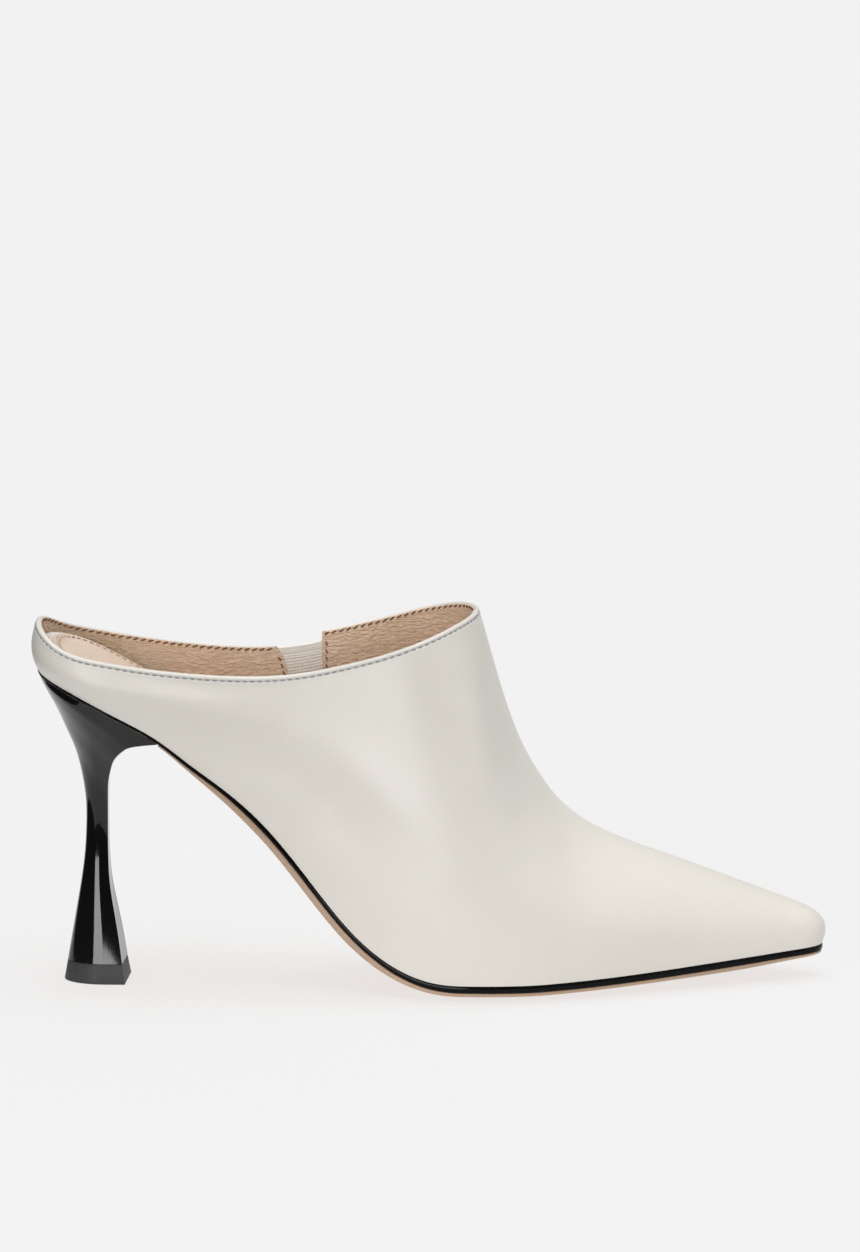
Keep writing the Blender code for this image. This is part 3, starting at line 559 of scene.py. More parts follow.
@dataclass(frozen=True)
class Columns:
    """How many columns a wall grid has in each stretch of one side."""

    heel: int = 22
    rear: int = 44
    gore: int = 14
    throat: int = 46
    vamp: int = 76
    toe: int = 30
    crowding_behind: float = 1.7
    crowding_before: float = 1.45

    def turns(self, last: Last, throat_x: float) -> Pair:
        """Each column's ray at the feather edge and at the top.

        The columns close up at the throat's apex, where the collar turns across the
        foot: their distance from it goes by a power of its share of the stretch.

        Args:
            last: the last.
            throat_x: where the top row's apex lies.

        Returns:
            The rays of the lowest row and those of the top row.
        """
        heel = np.linspace(0.0, 1.0, self.heel, endpoint=False)
        low = np.concatenate([
            np.linspace(last.heel_centre_x, last.gore_back_x, self.rear, endpoint=False),
            np.linspace(last.gore_back_x, last.gore_front_x, self.gore, endpoint=False),
            np.linspace(last.gore_front_x, last.throat_x, self.throat, endpoint=False),
            np.linspace(last.throat_x, last.toe_centre_x, self.vamp, endpoint=False),
        ])
        toe = np.linspace(2.0, 3.0, self.toe + 1)
        away = low - last.throat_x
        room = np.where(away < 0.0, last.throat_x - last.gore_front_x, last.toe_centre_x - last.throat_x)
        top_room = room + np.where(away < 0.0, 1.0, -1.0) * (throat_x - last.throat_x)
        crowding = np.where(away < 0.0, self.crowding_behind, self.crowding_before)
        closed = throat_x + np.sign(away) * top_room * (np.abs(away) / room) ** crowding
        high = np.where(np.abs(away) < room, closed, low)
        return (np.concatenate([heel, last.turn_at(low), toe]),
                np.concatenate([heel, last.turn_at(high), toe]))

    @property
    def gore_start(self) -> int:
        """First column of the gore's slot."""
        return self.heel + self.rear

    @property
    def apex(self) -> int:
        """Column of the throat's apex."""
        return self.gore_start + self.gore + self.throat


class WallGrid:
    """The outside of the last's wall on one closed loop of columns.

    Rows run from the feather edge to the top, and columns from the tip back along the
    outer side, round the heel and forward along the inner side. The gore's foot has a
    row of its own, and the rows lie closest at the collar.
    """

    LOW_ROWS = 28
    HIGH_ROWS = 36
    EDGE_SPACING = 6.0
    ROWS_LEAVE_GORE = 30.0
    ROWS_FADE = 26.0
    LEAN_FADE = 22.0
    EVEN_SHARE = 0.5
    GORE_SHARE = 0.8

    def __init__(self, last: Last, columns: Columns, lowered: float = 0.0, flap: float = 0.0) -> None:
        """Work out the grid's points and normals.

        Args:
            last: the last.
            columns: counts of columns.
            lowered: how far under the collar's edge the grid ends.
            flap: how far the slot's back edge leans forward on its way down.
        """
        self.last, self.columns = last, columns
        low, high = columns.turns(last, last.throat_at(lowered))
        self.half = len(low)
        order = np.concatenate([np.arange(self.half)[::-1], np.arange(1, self.half - 1)])
        self.side = np.concatenate([np.full(self.half, OUTER_SIDE), np.full(self.half - 2, INNER_SIDE)])
        rows = np.arange(self.LOW_ROWS + self.HIGH_ROWS + 1)[:, None]
        share = ease(rows / rows[-1, 0])
        turns = blend(low[order][None, :], high[order][None, :], share)
        turns = turns + self.lean(turns, rows, flap)
        rays = Rays(last, self.side[None, :], turns, lowered)
        self.points = rays.wall_points(lambda full: self.lengths(full, rays.centre_x, rows))
        self.is_ridge = ~rays.is_cut[-1]
        self.join_ridge(self.points)
        self.normals = self.outward()

    @property
    def mirror(self) -> Array:
        """The column across the shoe from each column."""
        count = 2 * self.half - 2
        return (2 * (self.half - 1) - np.arange(count)) % count

    def lean(self, turns: Array, rows: Array, flap: float) -> Array:
        """Move the columns round the slot's back edge forwards, more the deeper a row lies.

        The shift fades over the stretch behind the edge and over the slot before it.

        Args:
            turns: each point's ray.
            rows: row numbers.
            flap: the greatest shift.

        Returns:
            What to add to the rays.
        """
        last = self.last
        span = last.toe_centre_x - last.heel_centre_x
        x = last.heel_centre_x + (turns - 1.0) * span
        down = last.gore_depth * self.crowded(rows, self.EDGE_SPACING / last.gore_depth)
        behind = ease((x - last.gore_back_x + self.LEAN_FADE) / self.LEAN_FADE)
        before = ease((last.gore_front_x - x) / last.gore_width)
        shift = flap_shift(down, flap) * behind * before * (self.side > 0.0)
        return shift * ease(rows / self.LOW_ROWS) / span

    def crowded(self, rows: Array, even: Array) -> Array:
        """A row's share of the way from the top: a mix of its even share and that share's cube."""
        left = np.clip((self.LOW_ROWS + self.HIGH_ROWS - rows) / self.HIGH_ROWS, 0.0, 1.0)
        return even * left + (1.0 - even) * left ** 3

    def lengths(self, full: Array, x: Array, rows: Array) -> Array:
        """Length up the section at each row.

        Under the gore's foot the rows are even. Over it the distance from the top goes
        by a mix of a row's share and its cube, so that the rows crowd at the edge.

        Args:
            full: each section's whole length.
            x: place of each section.
            rows: row numbers.

        Returns:
            Lengths from the feather edge.
        """
        last = self.last
        by_gore = (ease((x - last.gore_back_x + self.ROWS_LEAVE_GORE) / self.ROWS_FADE)
                   * ease((last.gore_front_x + self.ROWS_LEAVE_GORE - x) / self.ROWS_FADE))
        gore_part = np.minimum(last.gore_depth, self.GORE_SHARE * full)
        high_part = blend(self.EVEN_SHARE * full, gore_part, by_gore)
        over = full - high_part * self.crowded(rows, np.clip(self.EDGE_SPACING / high_part, 0.0, 1.0))
        return np.where(rows <= self.LOW_ROWS, (full - high_part) * rows / self.LOW_ROWS, over)

    def join_ridge(self, points: Array) -> None:
        """Make both sides' top rows one line where the collar doesn't cut them."""
        both = (points[-1] + points[-1][self.mirror]) / 2.0
        points[-1] = np.where(self.is_ridge[:, None], both, points[-1])

    def outward(self) -> Array:
        """Unit normals: the cross product of the grid's two directions, turned outwards."""
        wide = np.concatenate([self.points[:, -1:], self.points, self.points[:, :1]], axis=1)
        along = (wide[:, 2:] - wide[:, :-2]) / 2.0
        normals = unit(np.cross(along, np.gradient(self.points, axis=0)))
        turned = normals[self.LOW_ROWS // 2, self.half // 2, 1] * self.side[self.half // 2]
        normals = normals * np.sign(turned)
        pole = np.linalg.norm(along[-1], axis=-1) < 1e-6
        normals[-1] = np.where(pole[:, None], unit(normals[-2][pole].mean(axis=0)), normals[-1])
        self.join_ridge(normals)
        return unit(normals)

    def collar_line(self) -> Array:
        """The top row from the apex round the back to the apex."""
        apex = self.columns.apex
        return self.points[-1, self.half - 1 - apex:self.half + apex]

    def slot_lines(self) -> tuple[Array, Array, Array]:
        """The slot's back edge, its foot and its front edge."""
        start = self.half - 1 + self.columns.gore_start
        end = start + self.columns.gore
        return (self.points[self.LOW_ROWS:, start], self.points[self.LOW_ROWS, start:end + 1],
                self.points[self.LOW_ROWS:, end])


def flap_shift(down: Array, flap: float, curve: float = 7.0) -> Array:
    """How far the lining's flap reaches over the gore: it nears its width by e to the minus depth."""
    return flap * (1.0 - np.exp(-down / curve))


class Workbench:
    """Turns points in the last's frame into objects in the shared frame."""

    WELD = 2e-6

    def __init__(self, offset: Array) -> None:
        """Keep the offset from the last's frame to the shared one, in millimetres."""
        self.offset = offset
        self.collection = bpy.data.collections.new("mule_looks")
        bpy.context.scene.collection.children.link(self.collection)

    def mesh(self, name: str, points: Array, faces: Array, sharp: float = 60.0,
             attributes: dict[str, Array] | None = None) -> Object:
        """Make a welded, outward facing mesh object.

        Args:
            name: the object's name.
            points: points in millimetres.
            faces: rows of four indices.
            sharp: edges over this angle in degrees stay sharp.
            attributes: a number for each point, by name.

        Returns:
            The object, at the origin.
        """
        mesh = bpy.data.meshes.new(name)
        placed = ((points.reshape(-1, 3) + self.offset) * MM).astype(np.float32)
        faces = np.asarray(faces, np.int32)
        mesh.vertices.add(len(placed))
        mesh.vertices.foreach_set("co", placed.ravel())
        mesh.loops.add(faces.size)
        mesh.loops.foreach_set("vertex_index", faces.ravel())
        mesh.polygons.add(len(faces))
        mesh.polygons.foreach_set("loop_start", np.arange(0, faces.size, 4, dtype=np.int32))
        for key, values in (attributes or {}).items():
            layer = mesh.attributes.new(key, "FLOAT", "POINT")
            layer.data.foreach_set("value", values.ravel().astype(np.float32))
        mesh.update(calc_edges=True)
        work = bmesh.new()
        work.from_mesh(mesh)
        bmesh.ops.remove_doubles(work, verts=work.verts, dist=self.WELD)
        bmesh.ops.recalc_face_normals(work, faces=work.faces)
        work.to_mesh(mesh)
        work.free()
        mesh.shade_smooth()
        mesh.set_sharp_from_angle(angle=np.radians(sharp))
        shape = bpy.data.objects.new(name, mesh)
        self.collection.objects.link(shape)
        return shape


def grid_faces(rows: int, columns: int, closed: bool = False) -> Array:
    """Quads of a grid of points that are stored row by row.

    Args:
        rows: rows of points.
        columns: columns of points.
        closed: whether the last column joins the first.

    Returns:
        Rows of four indices, a row of quads for each row of the grid.
    """
    r = np.arange(rows - 1)[:, None]
    c = np.arange(columns if closed else columns - 1)[None, :]
    following = (c + 1) % columns
    first, second = r * columns + c, r * columns + following
    return np.stack([first, second, second + columns, first + columns], axis=-1)


def strip_faces(first: Array, second: Array) -> Array:
    """Quads between two lines of indices of one length."""
    return np.stack([first[:-1], first[1:], second[1:], second[:-1]], axis=-1)


class Maths:
    """A number that varies over a surface: a node socket with the operators of arithmetic."""

    def __init__(self, bench: "Nodes", socket: Socket) -> None:
        """Wrap a socket of the bench's node tree."""
        self.bench, self.socket = bench, socket

    def _with(self, operation: str, *values: "Maths | float") -> "Maths":
        """Add a Math node on some values."""
        return self.bench.number("ShaderNodeMath", {"operation": operation}, dict(enumerate(values)))

    def __add__(self, other: "Maths | float") -> "Maths":
        """This plus other."""
        return self._with("ADD", self, other)

    def __sub__(self, other: "Maths | float") -> "Maths":
        """This less other."""
        return self._with("SUBTRACT", self, other)

    def __rsub__(self, other: float) -> "Maths":
        """Other less this."""
        return self._with("SUBTRACT", other, self)

    def __mul__(self, other: "Maths | float") -> "Maths":
        """This times other."""
        return self._with("MULTIPLY", self, other)

    __radd__, __rmul__ = __add__, __mul__

    def __truediv__(self, other: "Maths | float") -> "Maths":
        """This over other."""
        return self._with("DIVIDE", self, other)

    def bell(self, centre: float, reach: float) -> "Maths":
        """1 at centre, falling to 0 on both sides by a bell curve."""
        away = (self - centre) / reach
        return self._with("POWER", float(np.e), -1.0 * away * away)

    def step(self, start: float, end: float) -> "Maths":
        """0 before start and 1 after end, eased between them."""
        inputs = {"Value": self, "From Min": start, "From Max": end}
        return self.bench.number("ShaderNodeMapRange", {"interpolation_type": "SMOOTHSTEP"}, inputs)

    def wave(self) -> "Maths":
        """The sine of this, between -1 and 1."""
        return self._with("SINE", self)


class Nodes:
    """A material's node tree, with one method that adds any node."""

    def __init__(self, name: str) -> None:
        """Start a material with a Principled shader."""
        self.material = bpy.data.materials.new(name)
        self.material.use_nodes = True
        self.tree = self.material.node_tree
        self.shader = self.tree.nodes["Principled BSDF"]
        self.place = self.node("ShaderNodeTexCoord").outputs["Object"]

    def node(self, kind: str, settings: dict | None = None, inputs: dict | None = None) -> bpy.types.Node:
        """Add a node.

        Args:
            kind: the node's type.
            settings: its properties, which are set first.
            inputs: the value or link of each socket, by name or number.

        Returns:
            The node.
        """
        made = self.tree.nodes.new(kind)
        for key, value in (settings or {}).items():
            setattr(made, key, value)
        for key, value in (inputs or {}).items():
            self.feed(made.inputs[key], value)
        return made

    def feed(self, socket: Socket, value: object) -> None:
        """Link a socket, or set its value."""
        if isinstance(value, Maths):
            self.tree.links.new(value.socket, socket)
        elif isinstance(value, Socket):
            self.tree.links.new(value, socket)
        elif isinstance(value, (tuple, list)) and socket.type == "RGBA" and len(value) == 3:
            socket.default_value = (*value, 1.0)
        else:
            socket.default_value = value

    def number(self, kind: str, settings: dict | None = None, inputs: dict | None = None,
               output: str | int = 0) -> Maths:
        """Add a node and wrap one of its outputs."""
        return Maths(self, self.node(kind, settings, inputs).outputs[output])

    def attribute(self, name: str) -> Maths:
        """A number that is stored on the piece's points."""
        return self.number("ShaderNodeAttribute", {"attribute_name": name}, output="Fac")

    def stretched(self, scale: Sequence[float],
                  turn: Sequence[float] = (0.0, 0.0, 0.0)) -> Socket:
        """Object coordinates, turned by degrees and scaled along each axis."""
        turned = tuple(float(np.radians(angle)) for angle in turn)
        return self.node("ShaderNodeMapping", {}, {
            "Vector": self.place, "Rotation": turned, "Scale": tuple(scale)}).outputs[0]

    def noise(self, size_mm: float, detail: float = 2.0, where: Socket | None = None,
              roughness: float = 0.5) -> Maths:
        """Soft noise whose patches are about a size in millimetres."""
        inputs = {"Vector": where or self.place, "Scale": 1.0 / (size_mm * MM), "Detail": detail,
                  "Roughness": roughness}
        return self.number("ShaderNodeTexNoise", {}, inputs)

    def cells(self, size_mm: float, feature: str = "F1") -> Maths:
        """Distance pattern of cells about a size in millimetres."""
        inputs = {"Vector": self.place, "Scale": 1.0 / (size_mm * MM)}
        return self.number("ShaderNodeTexVoronoi", {"feature": feature}, inputs, "Distance")

    def mix(self, share: Maths | float, first: object, second: object) -> Socket:
        """Mix two colours."""
        made = self.node("ShaderNodeMix", {"data_type": "RGBA"})
        first_in, second_in = [socket for socket in made.inputs if socket.type == "RGBA"]
        self.feed(made.inputs[0], share)
        self.feed(first_in, first)
        self.feed(second_in, second)
        return next(socket for socket in made.outputs if socket.type == "RGBA")

    def relief(self, height: Maths, depth_mm: float) -> None:
        """Feed the normal with a bump whose full height is a depth in millimetres."""
        bump = self.node("ShaderNodeBump", {}, {"Distance": depth_mm * MM, "Height": height})
        self.feed(self.shader.inputs["Normal"], bump.outputs["Normal"])

    def shade(self, **inputs: object) -> None:
        """Set the Principled shader's sockets, with words joined by underscores."""
        for key, value in inputs.items():
            self.feed(self.shader.inputs[key.replace("_", " ")], value)


def tone(red: int, green: int, blue: int) -> Colour:
    """A display colour of 0 to 255 as the linear colour that shaders take."""
    def line(value: int) -> float:
        """One channel by the display standard's curve."""
        share = value / 255.0
        return share / 12.92 if share <= 0.04045 else ((share + 0.055) / 1.055) ** 2.4
    return line(red), line(green), line(blue)


@dataclass(frozen=True)
class Finish:
    """A finish: its name, its colour, and a second colour: where it is worn, dusty or mottled, and painted
    shade in the troughs of lining wrinkles and between the elastic's ribs.
    """

    name: str
    colour: Colour
    shade: Colour

    def paint(self, nodes: Nodes) -> None:
        """Lay the finish on its nodes."""
        nodes.shade(Base_Color=self.colour)

    def build(self) -> bpy.types.Material:
        """Make the material."""
        nodes = Nodes(self.name)
        self.paint(nodes)
        return nodes.material


@dataclass(frozen=True)
class SmoothLeather(Finish):
    """Finished leather: fine pores and a soft coat, darker and yellower where it is handled."""

    roughness: float = 0.42
    coat: float = 0.18
    pore_mm: float = 0.55
    pore_depth: float = 0.035
    patch_mm: float = 46.0
    patch_share: float = 0.55
    has_collar: bool = False
    # Painted shade: a dark blue-grey tone mixed into the stitch groove under the collar's edge
    groove_reach: float = 0.30
    groove_shade_share: float = 0.22
    painted_groove_shade: Colour = tone(126, 131, 136)

    def paint(self, nodes: Nodes) -> None:
        """Lay the finish on its nodes."""
        patches = nodes.noise(self.patch_mm, 3.0).step(0.35, 0.72)
        pores = nodes.cells(self.pore_mm)
        fine = nodes.noise(self.pore_mm * 2.2, 4.0, roughness=0.6)
        colour = nodes.mix(patches * self.patch_share, self.colour, self.shade)
        height = pores * 0.5 + fine
        if self.has_collar:
            # Painted shade: the groove's colour is mixed towards the dark blue-grey, beside its bump
            groove = nodes.attribute("edge").bell(COLLAR_SEAM_DROP, self.groove_reach)
            colour = nodes.mix(groove * self.groove_shade_share, colour, self.painted_groove_shade)
            height = height - groove * 1.2
        nodes.shade(Base_Color=colour, Roughness=self.roughness + (fine - 0.5) * 0.12 + patches * 0.04,
                    Coat_Weight=self.coat, Coat_Roughness=0.32, Specular_IOR_Level=0.5)
        nodes.relief(height, self.pore_depth)


@dataclass(frozen=True)
class LiningLeather(Finish):
    """Thin tan lining leather with slanting wrinkles, and painted shade in their troughs."""

    wrinkle_mm: float = 2.4
    pore_mm: float = 0.7
    patch_mm: float = 24.0
    slant: float = 38.0
    stretch: float = 3.2
    depth: float = 0.6

    def paint(self, nodes: Nodes) -> None:
        """Lay the finish on its nodes."""
        slanted = nodes.stretched((1.0, 1.0, self.stretch), (0.0, self.slant, 0.0))
        wrinkles = nodes.noise(self.wrinkle_mm, 3.0, slanted, 0.6).step(0.30, 0.70)
        pores = nodes.cells(self.pore_mm)
        patches = nodes.noise(self.patch_mm, 2.0).step(0.3, 0.75)
        # Painted shade: darker where the wrinkles' relief is low, added to random patches
        colour = nodes.mix(patches * 0.4 + (1.0 - wrinkles) * 0.4, self.colour, self.shade)
        nodes.shade(Base_Color=colour, Roughness=0.5 + wrinkles * 0.14, Coat_Weight=0.08, Coat_Roughness=0.4)
        nodes.relief(wrinkles + pores * 0.15, self.depth)


@dataclass(frozen=True)
class RibbedElastic(Finish):
    """Woven elastic, with painted shade in the valleys between its ribs."""

    rib_mm: float = 0.96
    thread_mm: float = 0.42

    def paint(self, nodes: Nodes) -> None:
        """Lay the finish on its nodes."""
        turns = 2.0 * np.pi
        # Painted shade: darker by a sine of the depth under the hem, in the valleys between the ribs
        rib_valley_painted_shade = 0.5 - (nodes.attribute("rib") * (turns / self.rib_mm)).wave() * 0.5
        threads = (nodes.attribute("along") * (turns / self.thread_mm)).wave() * 0.5 + 0.5
        fuzz = nodes.noise(0.5, 3.0)
        colour = nodes.mix(rib_valley_painted_shade * 0.60 + fuzz * 0.20, self.colour, self.shade)
        nodes.shade(Base_Color=colour, Roughness=0.86, Sheen_Weight=0.2)
        nodes.relief(threads * 0.6 + fuzz * 0.6, 0.12)


@dataclass(frozen=True)
class Lacquer(Finish):
    """Polished black lacquer with the faint orange peel of a dipped finish."""

    shade: Colour = tone(30, 31, 31)
    roughness: float = 0.07
    peel_mm: float = 3.0
    peel_depth: float = 0.012
    dust_mm: float = 0.9
    shine: float = 0.43

    def paint(self, nodes: Nodes) -> None:
        """Lay the finish on its nodes."""
        peel = nodes.noise(self.peel_mm, 2.0)
        dust = nodes.noise(self.dust_mm, 4.0).step(0.62, 0.8)
        nodes.shade(Base_Color=nodes.mix(dust * 0.3, self.colour, self.shade),
                    Roughness=self.roughness + dust * 0.08, Specular_IOR_Level=self.shine)
        nodes.relief(peel, self.peel_depth)


@dataclass(frozen=True)
class SoleLeather(Finish):
    """Veg-tanned sole leather, buffed, with fine scratches along the shoe."""

    fibre_mm: float = 1.2
    fibre_stretch: float = 0.12
    cloud_mm: float = 30.0

    def paint(self, nodes: Nodes) -> None:
        """Lay the finish on its nodes."""
        lengthwise = nodes.stretched((self.fibre_stretch, 1.0, 1.0))
        fibres = nodes.noise(self.fibre_mm, 4.0, lengthwise, 0.65)
        clouds = nodes.noise(self.cloud_mm, 3.0).step(0.3, 0.7)
        colour = nodes.mix(fibres * 0.45 + clouds * 0.3, self.colour, self.shade)
        nodes.shade(Base_Color=colour, Roughness=0.46 + fibres * 0.2, Coat_Weight=0.1, Coat_Roughness=0.3)
        nodes.relief(fibres, 0.05)


@dataclass(frozen=True)
class HardRubber(Finish):
    """Moulded rubber: matte, with a pebbled skin."""

    pebble_mm: float = 0.55
    patch_mm: float = 4.0

    def paint(self, nodes: Nodes) -> None:
        """Lay the finish on its nodes."""
        pebbles = nodes.cells(self.pebble_mm, "SMOOTH_F1")
        patches = nodes.noise(self.patch_mm, 3.0)
        colour = nodes.mix(patches, self.colour, self.shade)
        nodes.shade(Base_Color=colour, Roughness=0.5 + patches * 0.16)
        nodes.relief(pebbles + patches * 0.4, 0.08)


@dataclass(frozen=True)
class Thread(Finish):
    """Twisted sewing thread."""

    strand_mm: float = 0.25

    def paint(self, nodes: Nodes) -> None:
        """Lay the finish on its nodes."""
        strands = nodes.noise(self.strand_mm, 2.0)
        nodes.shade(Base_Color=nodes.mix(strands, self.colour, self.shade), Roughness=0.7)
        nodes.relief(strands, 0.05)


OFF_WHITE = SmoothLeather("off_white_leather", tone(220, 216, 208), tone(214, 210, 199), has_collar=True)
IVORY = SmoothLeather("ivory_leather", tone(232, 228, 220), tone(222, 216, 205), roughness=0.46)
TAN_LINING = LiningLeather("tan_lining", tone(252, 225, 198), tone(240, 205, 172))
SOCK_LEATHER = LiningLeather("sock_leather", tone(220, 200, 182), tone(206, 184, 164), depth=0.08)
ELASTIC = RibbedElastic("ribbed_elastic", tone(250, 248, 243), tone(234, 229, 219))
EDGE_INK = Lacquer("black_edge_ink", tone(8, 8, 9), roughness=0.12, peel_mm=1.6, peel_depth=0.03, shine=0.12)
HEEL_LACQUER = Lacquer("black_lacquer", tone(12, 13, 12))
TAN_SOLE = SoleLeather("sole_leather", tone(186, 158, 132), tone(156, 128, 103))
BLACK_RUBBER = HardRubber("black_rubber", tone(54, 55, 55), tone(40, 41, 41))
GREY_THREAD = Thread("grey_thread", tone(160, 164, 168), tone(128, 133, 138))
BROWN_THREAD = Thread("brown_thread", tone(128, 92, 66), tone(96, 66, 46))
GORE_THREAD = Thread("brown_gore_thread", tone(128, 92, 66), tone(96, 66, 46))
BEIGE_THREAD = Thread("beige_thread", tone(190, 160, 136), tone(164, 134, 110))


class Sun(NamedTuple):
    """An even light: where it stands, its strength, and whether glossy things mirror it."""

    name: str
    towards: Place
    power: float
    is_mirrored: bool = True


SUNS = (
    Sun("overhead_light", (0.0, 0.0, 1.0), 1.50),
    Sun("front_light", (0.0, -0.55, 0.80), 0.30),
    Sun("fill_light", (-0.60, -0.75, 0.28), 0.62, False),
    Sun("right_light", (0.9, -0.35, 0.2), 0.18),
)


@dataclass(frozen=True)
class Studio:
    """Floor, walls, lights, world and camera of a plain studio."""

    elevation: float = 11.0
    distance: float = 4.0
    sensor: float = 36.0
    seen_height: float = 0.3837
    farthest: float = 50.0
    aim: Place = (0.0001, -0.0011, 0.1106)
    floor_half: float = 6.0
    wall_height: float = 3.0
    table: Edges = (-0.27, 1.2, -0.17, 0.7)
    floor_tone: Colour = (0.115, 0.150, 0.165)
    floor_glow: Colour = (0.752, 0.712, 0.696)
    wall_glow: Colour = (0.887, 0.887, 0.887)
    sky: float = 0.645
    dark_sky: float = 0.026
    sky_side: Place = (0.55, 0.35, 0.6)
    sky_rise: Two = (-0.05, 0.50)
    sun_angle: float = 46.0
    sun_distance: float = 2.0
    softbox_place: Place = (-0.56, -1.43, 0.21)
    softbox_aim: Place = (-0.1, 0.0, 0.04)
    softbox_size: Two = (0.70, 0.52)
    softbox_power: float = 9.2

    def build(self) -> None:
        """Make everything round the shoe."""
        left, right, front, back = self.table
        far = self.floor_half
        self.floor("studio_table", self.table, True)
        self.floor("studio_floor_front", (-far, far, -far, front), False)
        self.floor("studio_floor_back", (-far, far, back, far), False)
        self.floor("studio_floor_left", (-far, left, front, back), False)
        self.floor("studio_floor_right", (right, far, front, back), False)
        self.walls()
        self.world()
        self.camera()
        for row in SUNS:
            self.sun(row)
        self.softbox()

    @staticmethod
    def plate(name: str, points: Array, quads: Array, paint: Nodes) -> Object:
        """Add a mesh object that belongs to the studio.

        Args:
            name: its name.
            points: its points in metres.
            quads: rows of four indices.
            paint: its material's nodes.

        Returns:
            The object.
        """
        mesh = bpy.data.meshes.new(name)
        mesh.from_pydata(points.tolist(), [], quads.reshape(-1, 4).tolist())
        mesh.materials.append(paint.material)
        shape = bpy.data.objects.new(name, mesh)
        bpy.context.scene.collection.objects.link(shape)
        return shape

    def floor(self, name: str, reach: Edges, is_mirrored: bool) -> None:
        """A plate of the wide pale floor, lit from below as a light table is, of two by two quads.

        Args:
            name: the plate's name.
            reach: its left, right, front and back edges.
            is_mirrored: whether it shows in gloss and bounces light; a studio hides the rest
                with black cards.
        """
        left, right, front, back = reach
        x, y = np.meshgrid(np.linspace(left, right, 3), np.linspace(front, back, 3))
        points = np.stack([x.ravel(), y.ravel(), np.zeros(x.size)], axis=-1)
        paint = Nodes("studio_paint")
        paint.shade(Base_Color=self.floor_tone, Roughness=0.9, Specular_IOR_Level=0.1,
                    Emission_Color=self.floor_glow, Emission_Strength=1.0)
        shape = self.plate(name, points, grid_faces(3, 3), paint)
        shape.visible_glossy = shape.visible_diffuse = is_mirrored

    def walls(self) -> None:
        """Pale upright walls round the floor, seen by the camera alone, so that no light is kept out."""
        far = self.floor_half
        corners = ((-far, -far), (far, -far), (far, far), (-far, far))
        points = np.array([(x, y, z) for z in (0.0, self.wall_height) for x, y in corners])
        paint = Nodes("studio_wall_paint")
        paint.shade(Base_Color=(0.0, 0.0, 0.0), Roughness=1.0, Specular_IOR_Level=0.0,
                    Emission_Color=self.wall_glow, Emission_Strength=1.0)
        shape = self.plate("studio_walls", points, grid_faces(2, 4, closed=True), paint)
        shape.visible_diffuse = shape.visible_glossy = shape.visible_shadow = False

    def world(self) -> None:
        """A pale world above, behind and to the right, and dark where the photographer stands."""
        world = bpy.data.worlds.new("studio")
        world.use_nodes = True
        tree = world.node_tree
        background = tree.nodes["Background"]
        where = tree.nodes.new("ShaderNodeTexCoord")
        parts = tree.nodes.new("ShaderNodeVectorMath")
        glow = tree.nodes.new("ShaderNodeMapRange")
        glow.interpolation_type = "SMOOTHSTEP"
        for key, value in zip(("From Min", "From Max", "To Min", "To Max"),
                              (*self.sky_rise, self.dark_sky, self.sky)):
            glow.inputs[key].default_value = value
        parts.operation = "DOT_PRODUCT"
        parts.inputs[1].default_value = self.sky_side
        tree.links.new(where.outputs["Generated"], parts.inputs[0])
        tree.links.new(parts.outputs["Value"], glow.inputs["Value"])
        tree.links.new(glow.outputs["Result"], background.inputs["Strength"])
        background.inputs["Color"].default_value = (1.0, 1.0, 1.0, 1.0)
        bpy.context.scene.world = world
        bpy.context.scene.view_settings.view_transform = "Standard"

    @staticmethod
    def lamp(light: bpy.types.Light, place: Vector, back: Vector) -> Object:
        """Hang a light.

        Args:
            light: the light.
            place: where it hangs.
            back: the way that its back faces.

        Returns:
            The lamp.
        """
        lamp = bpy.data.objects.new(light.name, light)
        lamp.rotation_euler = back.to_track_quat("Z", "Y").to_euler()
        lamp.location = place
        bpy.context.scene.collection.objects.link(lamp)
        return lamp

    def sun(self, row: Sun) -> None:
        """Add an even light from one direction, as soft as its angle is wide.

        Args:
            row: its row of the table.
        """
        light = bpy.data.lights.new(row.name, "SUN")
        light.energy = row.power
        light.angle = float(np.radians(self.sun_angle))
        towards = Vector(row.towards)
        self.lamp(light, towards * self.sun_distance, towards).visible_glossy = row.is_mirrored

    def softbox(self) -> None:
        """Add an upright area light that faces its aim."""
        light = bpy.data.lights.new("low_softbox", "AREA")
        light.shape = "RECTANGLE"
        light.size, light.size_y = self.softbox_size
        light.energy = self.softbox_power
        place = Vector(self.softbox_place)
        self.lamp(light, place, place - Vector(self.softbox_aim))

    def camera(self) -> None:
        """Look along Y from the shoe's outer side and a little above."""
        data = bpy.data.cameras.new("camera")
        data.sensor_width = self.sensor
        data.lens = self.sensor * self.distance / self.seen_height
        data.clip_end = self.farthest
        shape = bpy.data.objects.new("camera", data)
        tilt = np.radians(self.elevation)
        back = Vector((0.0, -np.cos(tilt), np.sin(tilt))) * self.distance
        turn = Matrix.Rotation(np.pi / 2 - tilt, 4, "X")
        shape.matrix_world = Matrix.Translation(Vector(self.aim) + back) @ turn
        bpy.context.scene.collection.objects.link(shape)
        bpy.context.scene.camera = shape


class Crease(NamedTuple):
    """A soft trough along a line in side view, a little bowed, with a ridge beside it."""

    start: Two
    end: Two
    reach: float
    depth: float
    end_share: float = 0.3
    bow: float = 0.04
    ridge_away: float = 1.6
    ridge_share: float = 0.5


# Placed on the vamp and at the instep, as X and Z in millimetres
CREASES = (
    Crease((118.0, 103.0), (146.0, 92.0), 2.6, 0.10),
    Crease((112.0, 92.0), (148.0, 80.0), 3.4, 0.12),
    Crease((126.0, 62.0), (166.0, 54.0), 6.0, 0.22),
    Crease((138.0, 44.0), (178.0, 42.0), 6.5, 0.18),
)


class Swell(NamedTuple):
    """A broad soft rise or hollow, as an ellipse in side view."""

    centre: Two
    reach: Two
    turn: float
    height: float


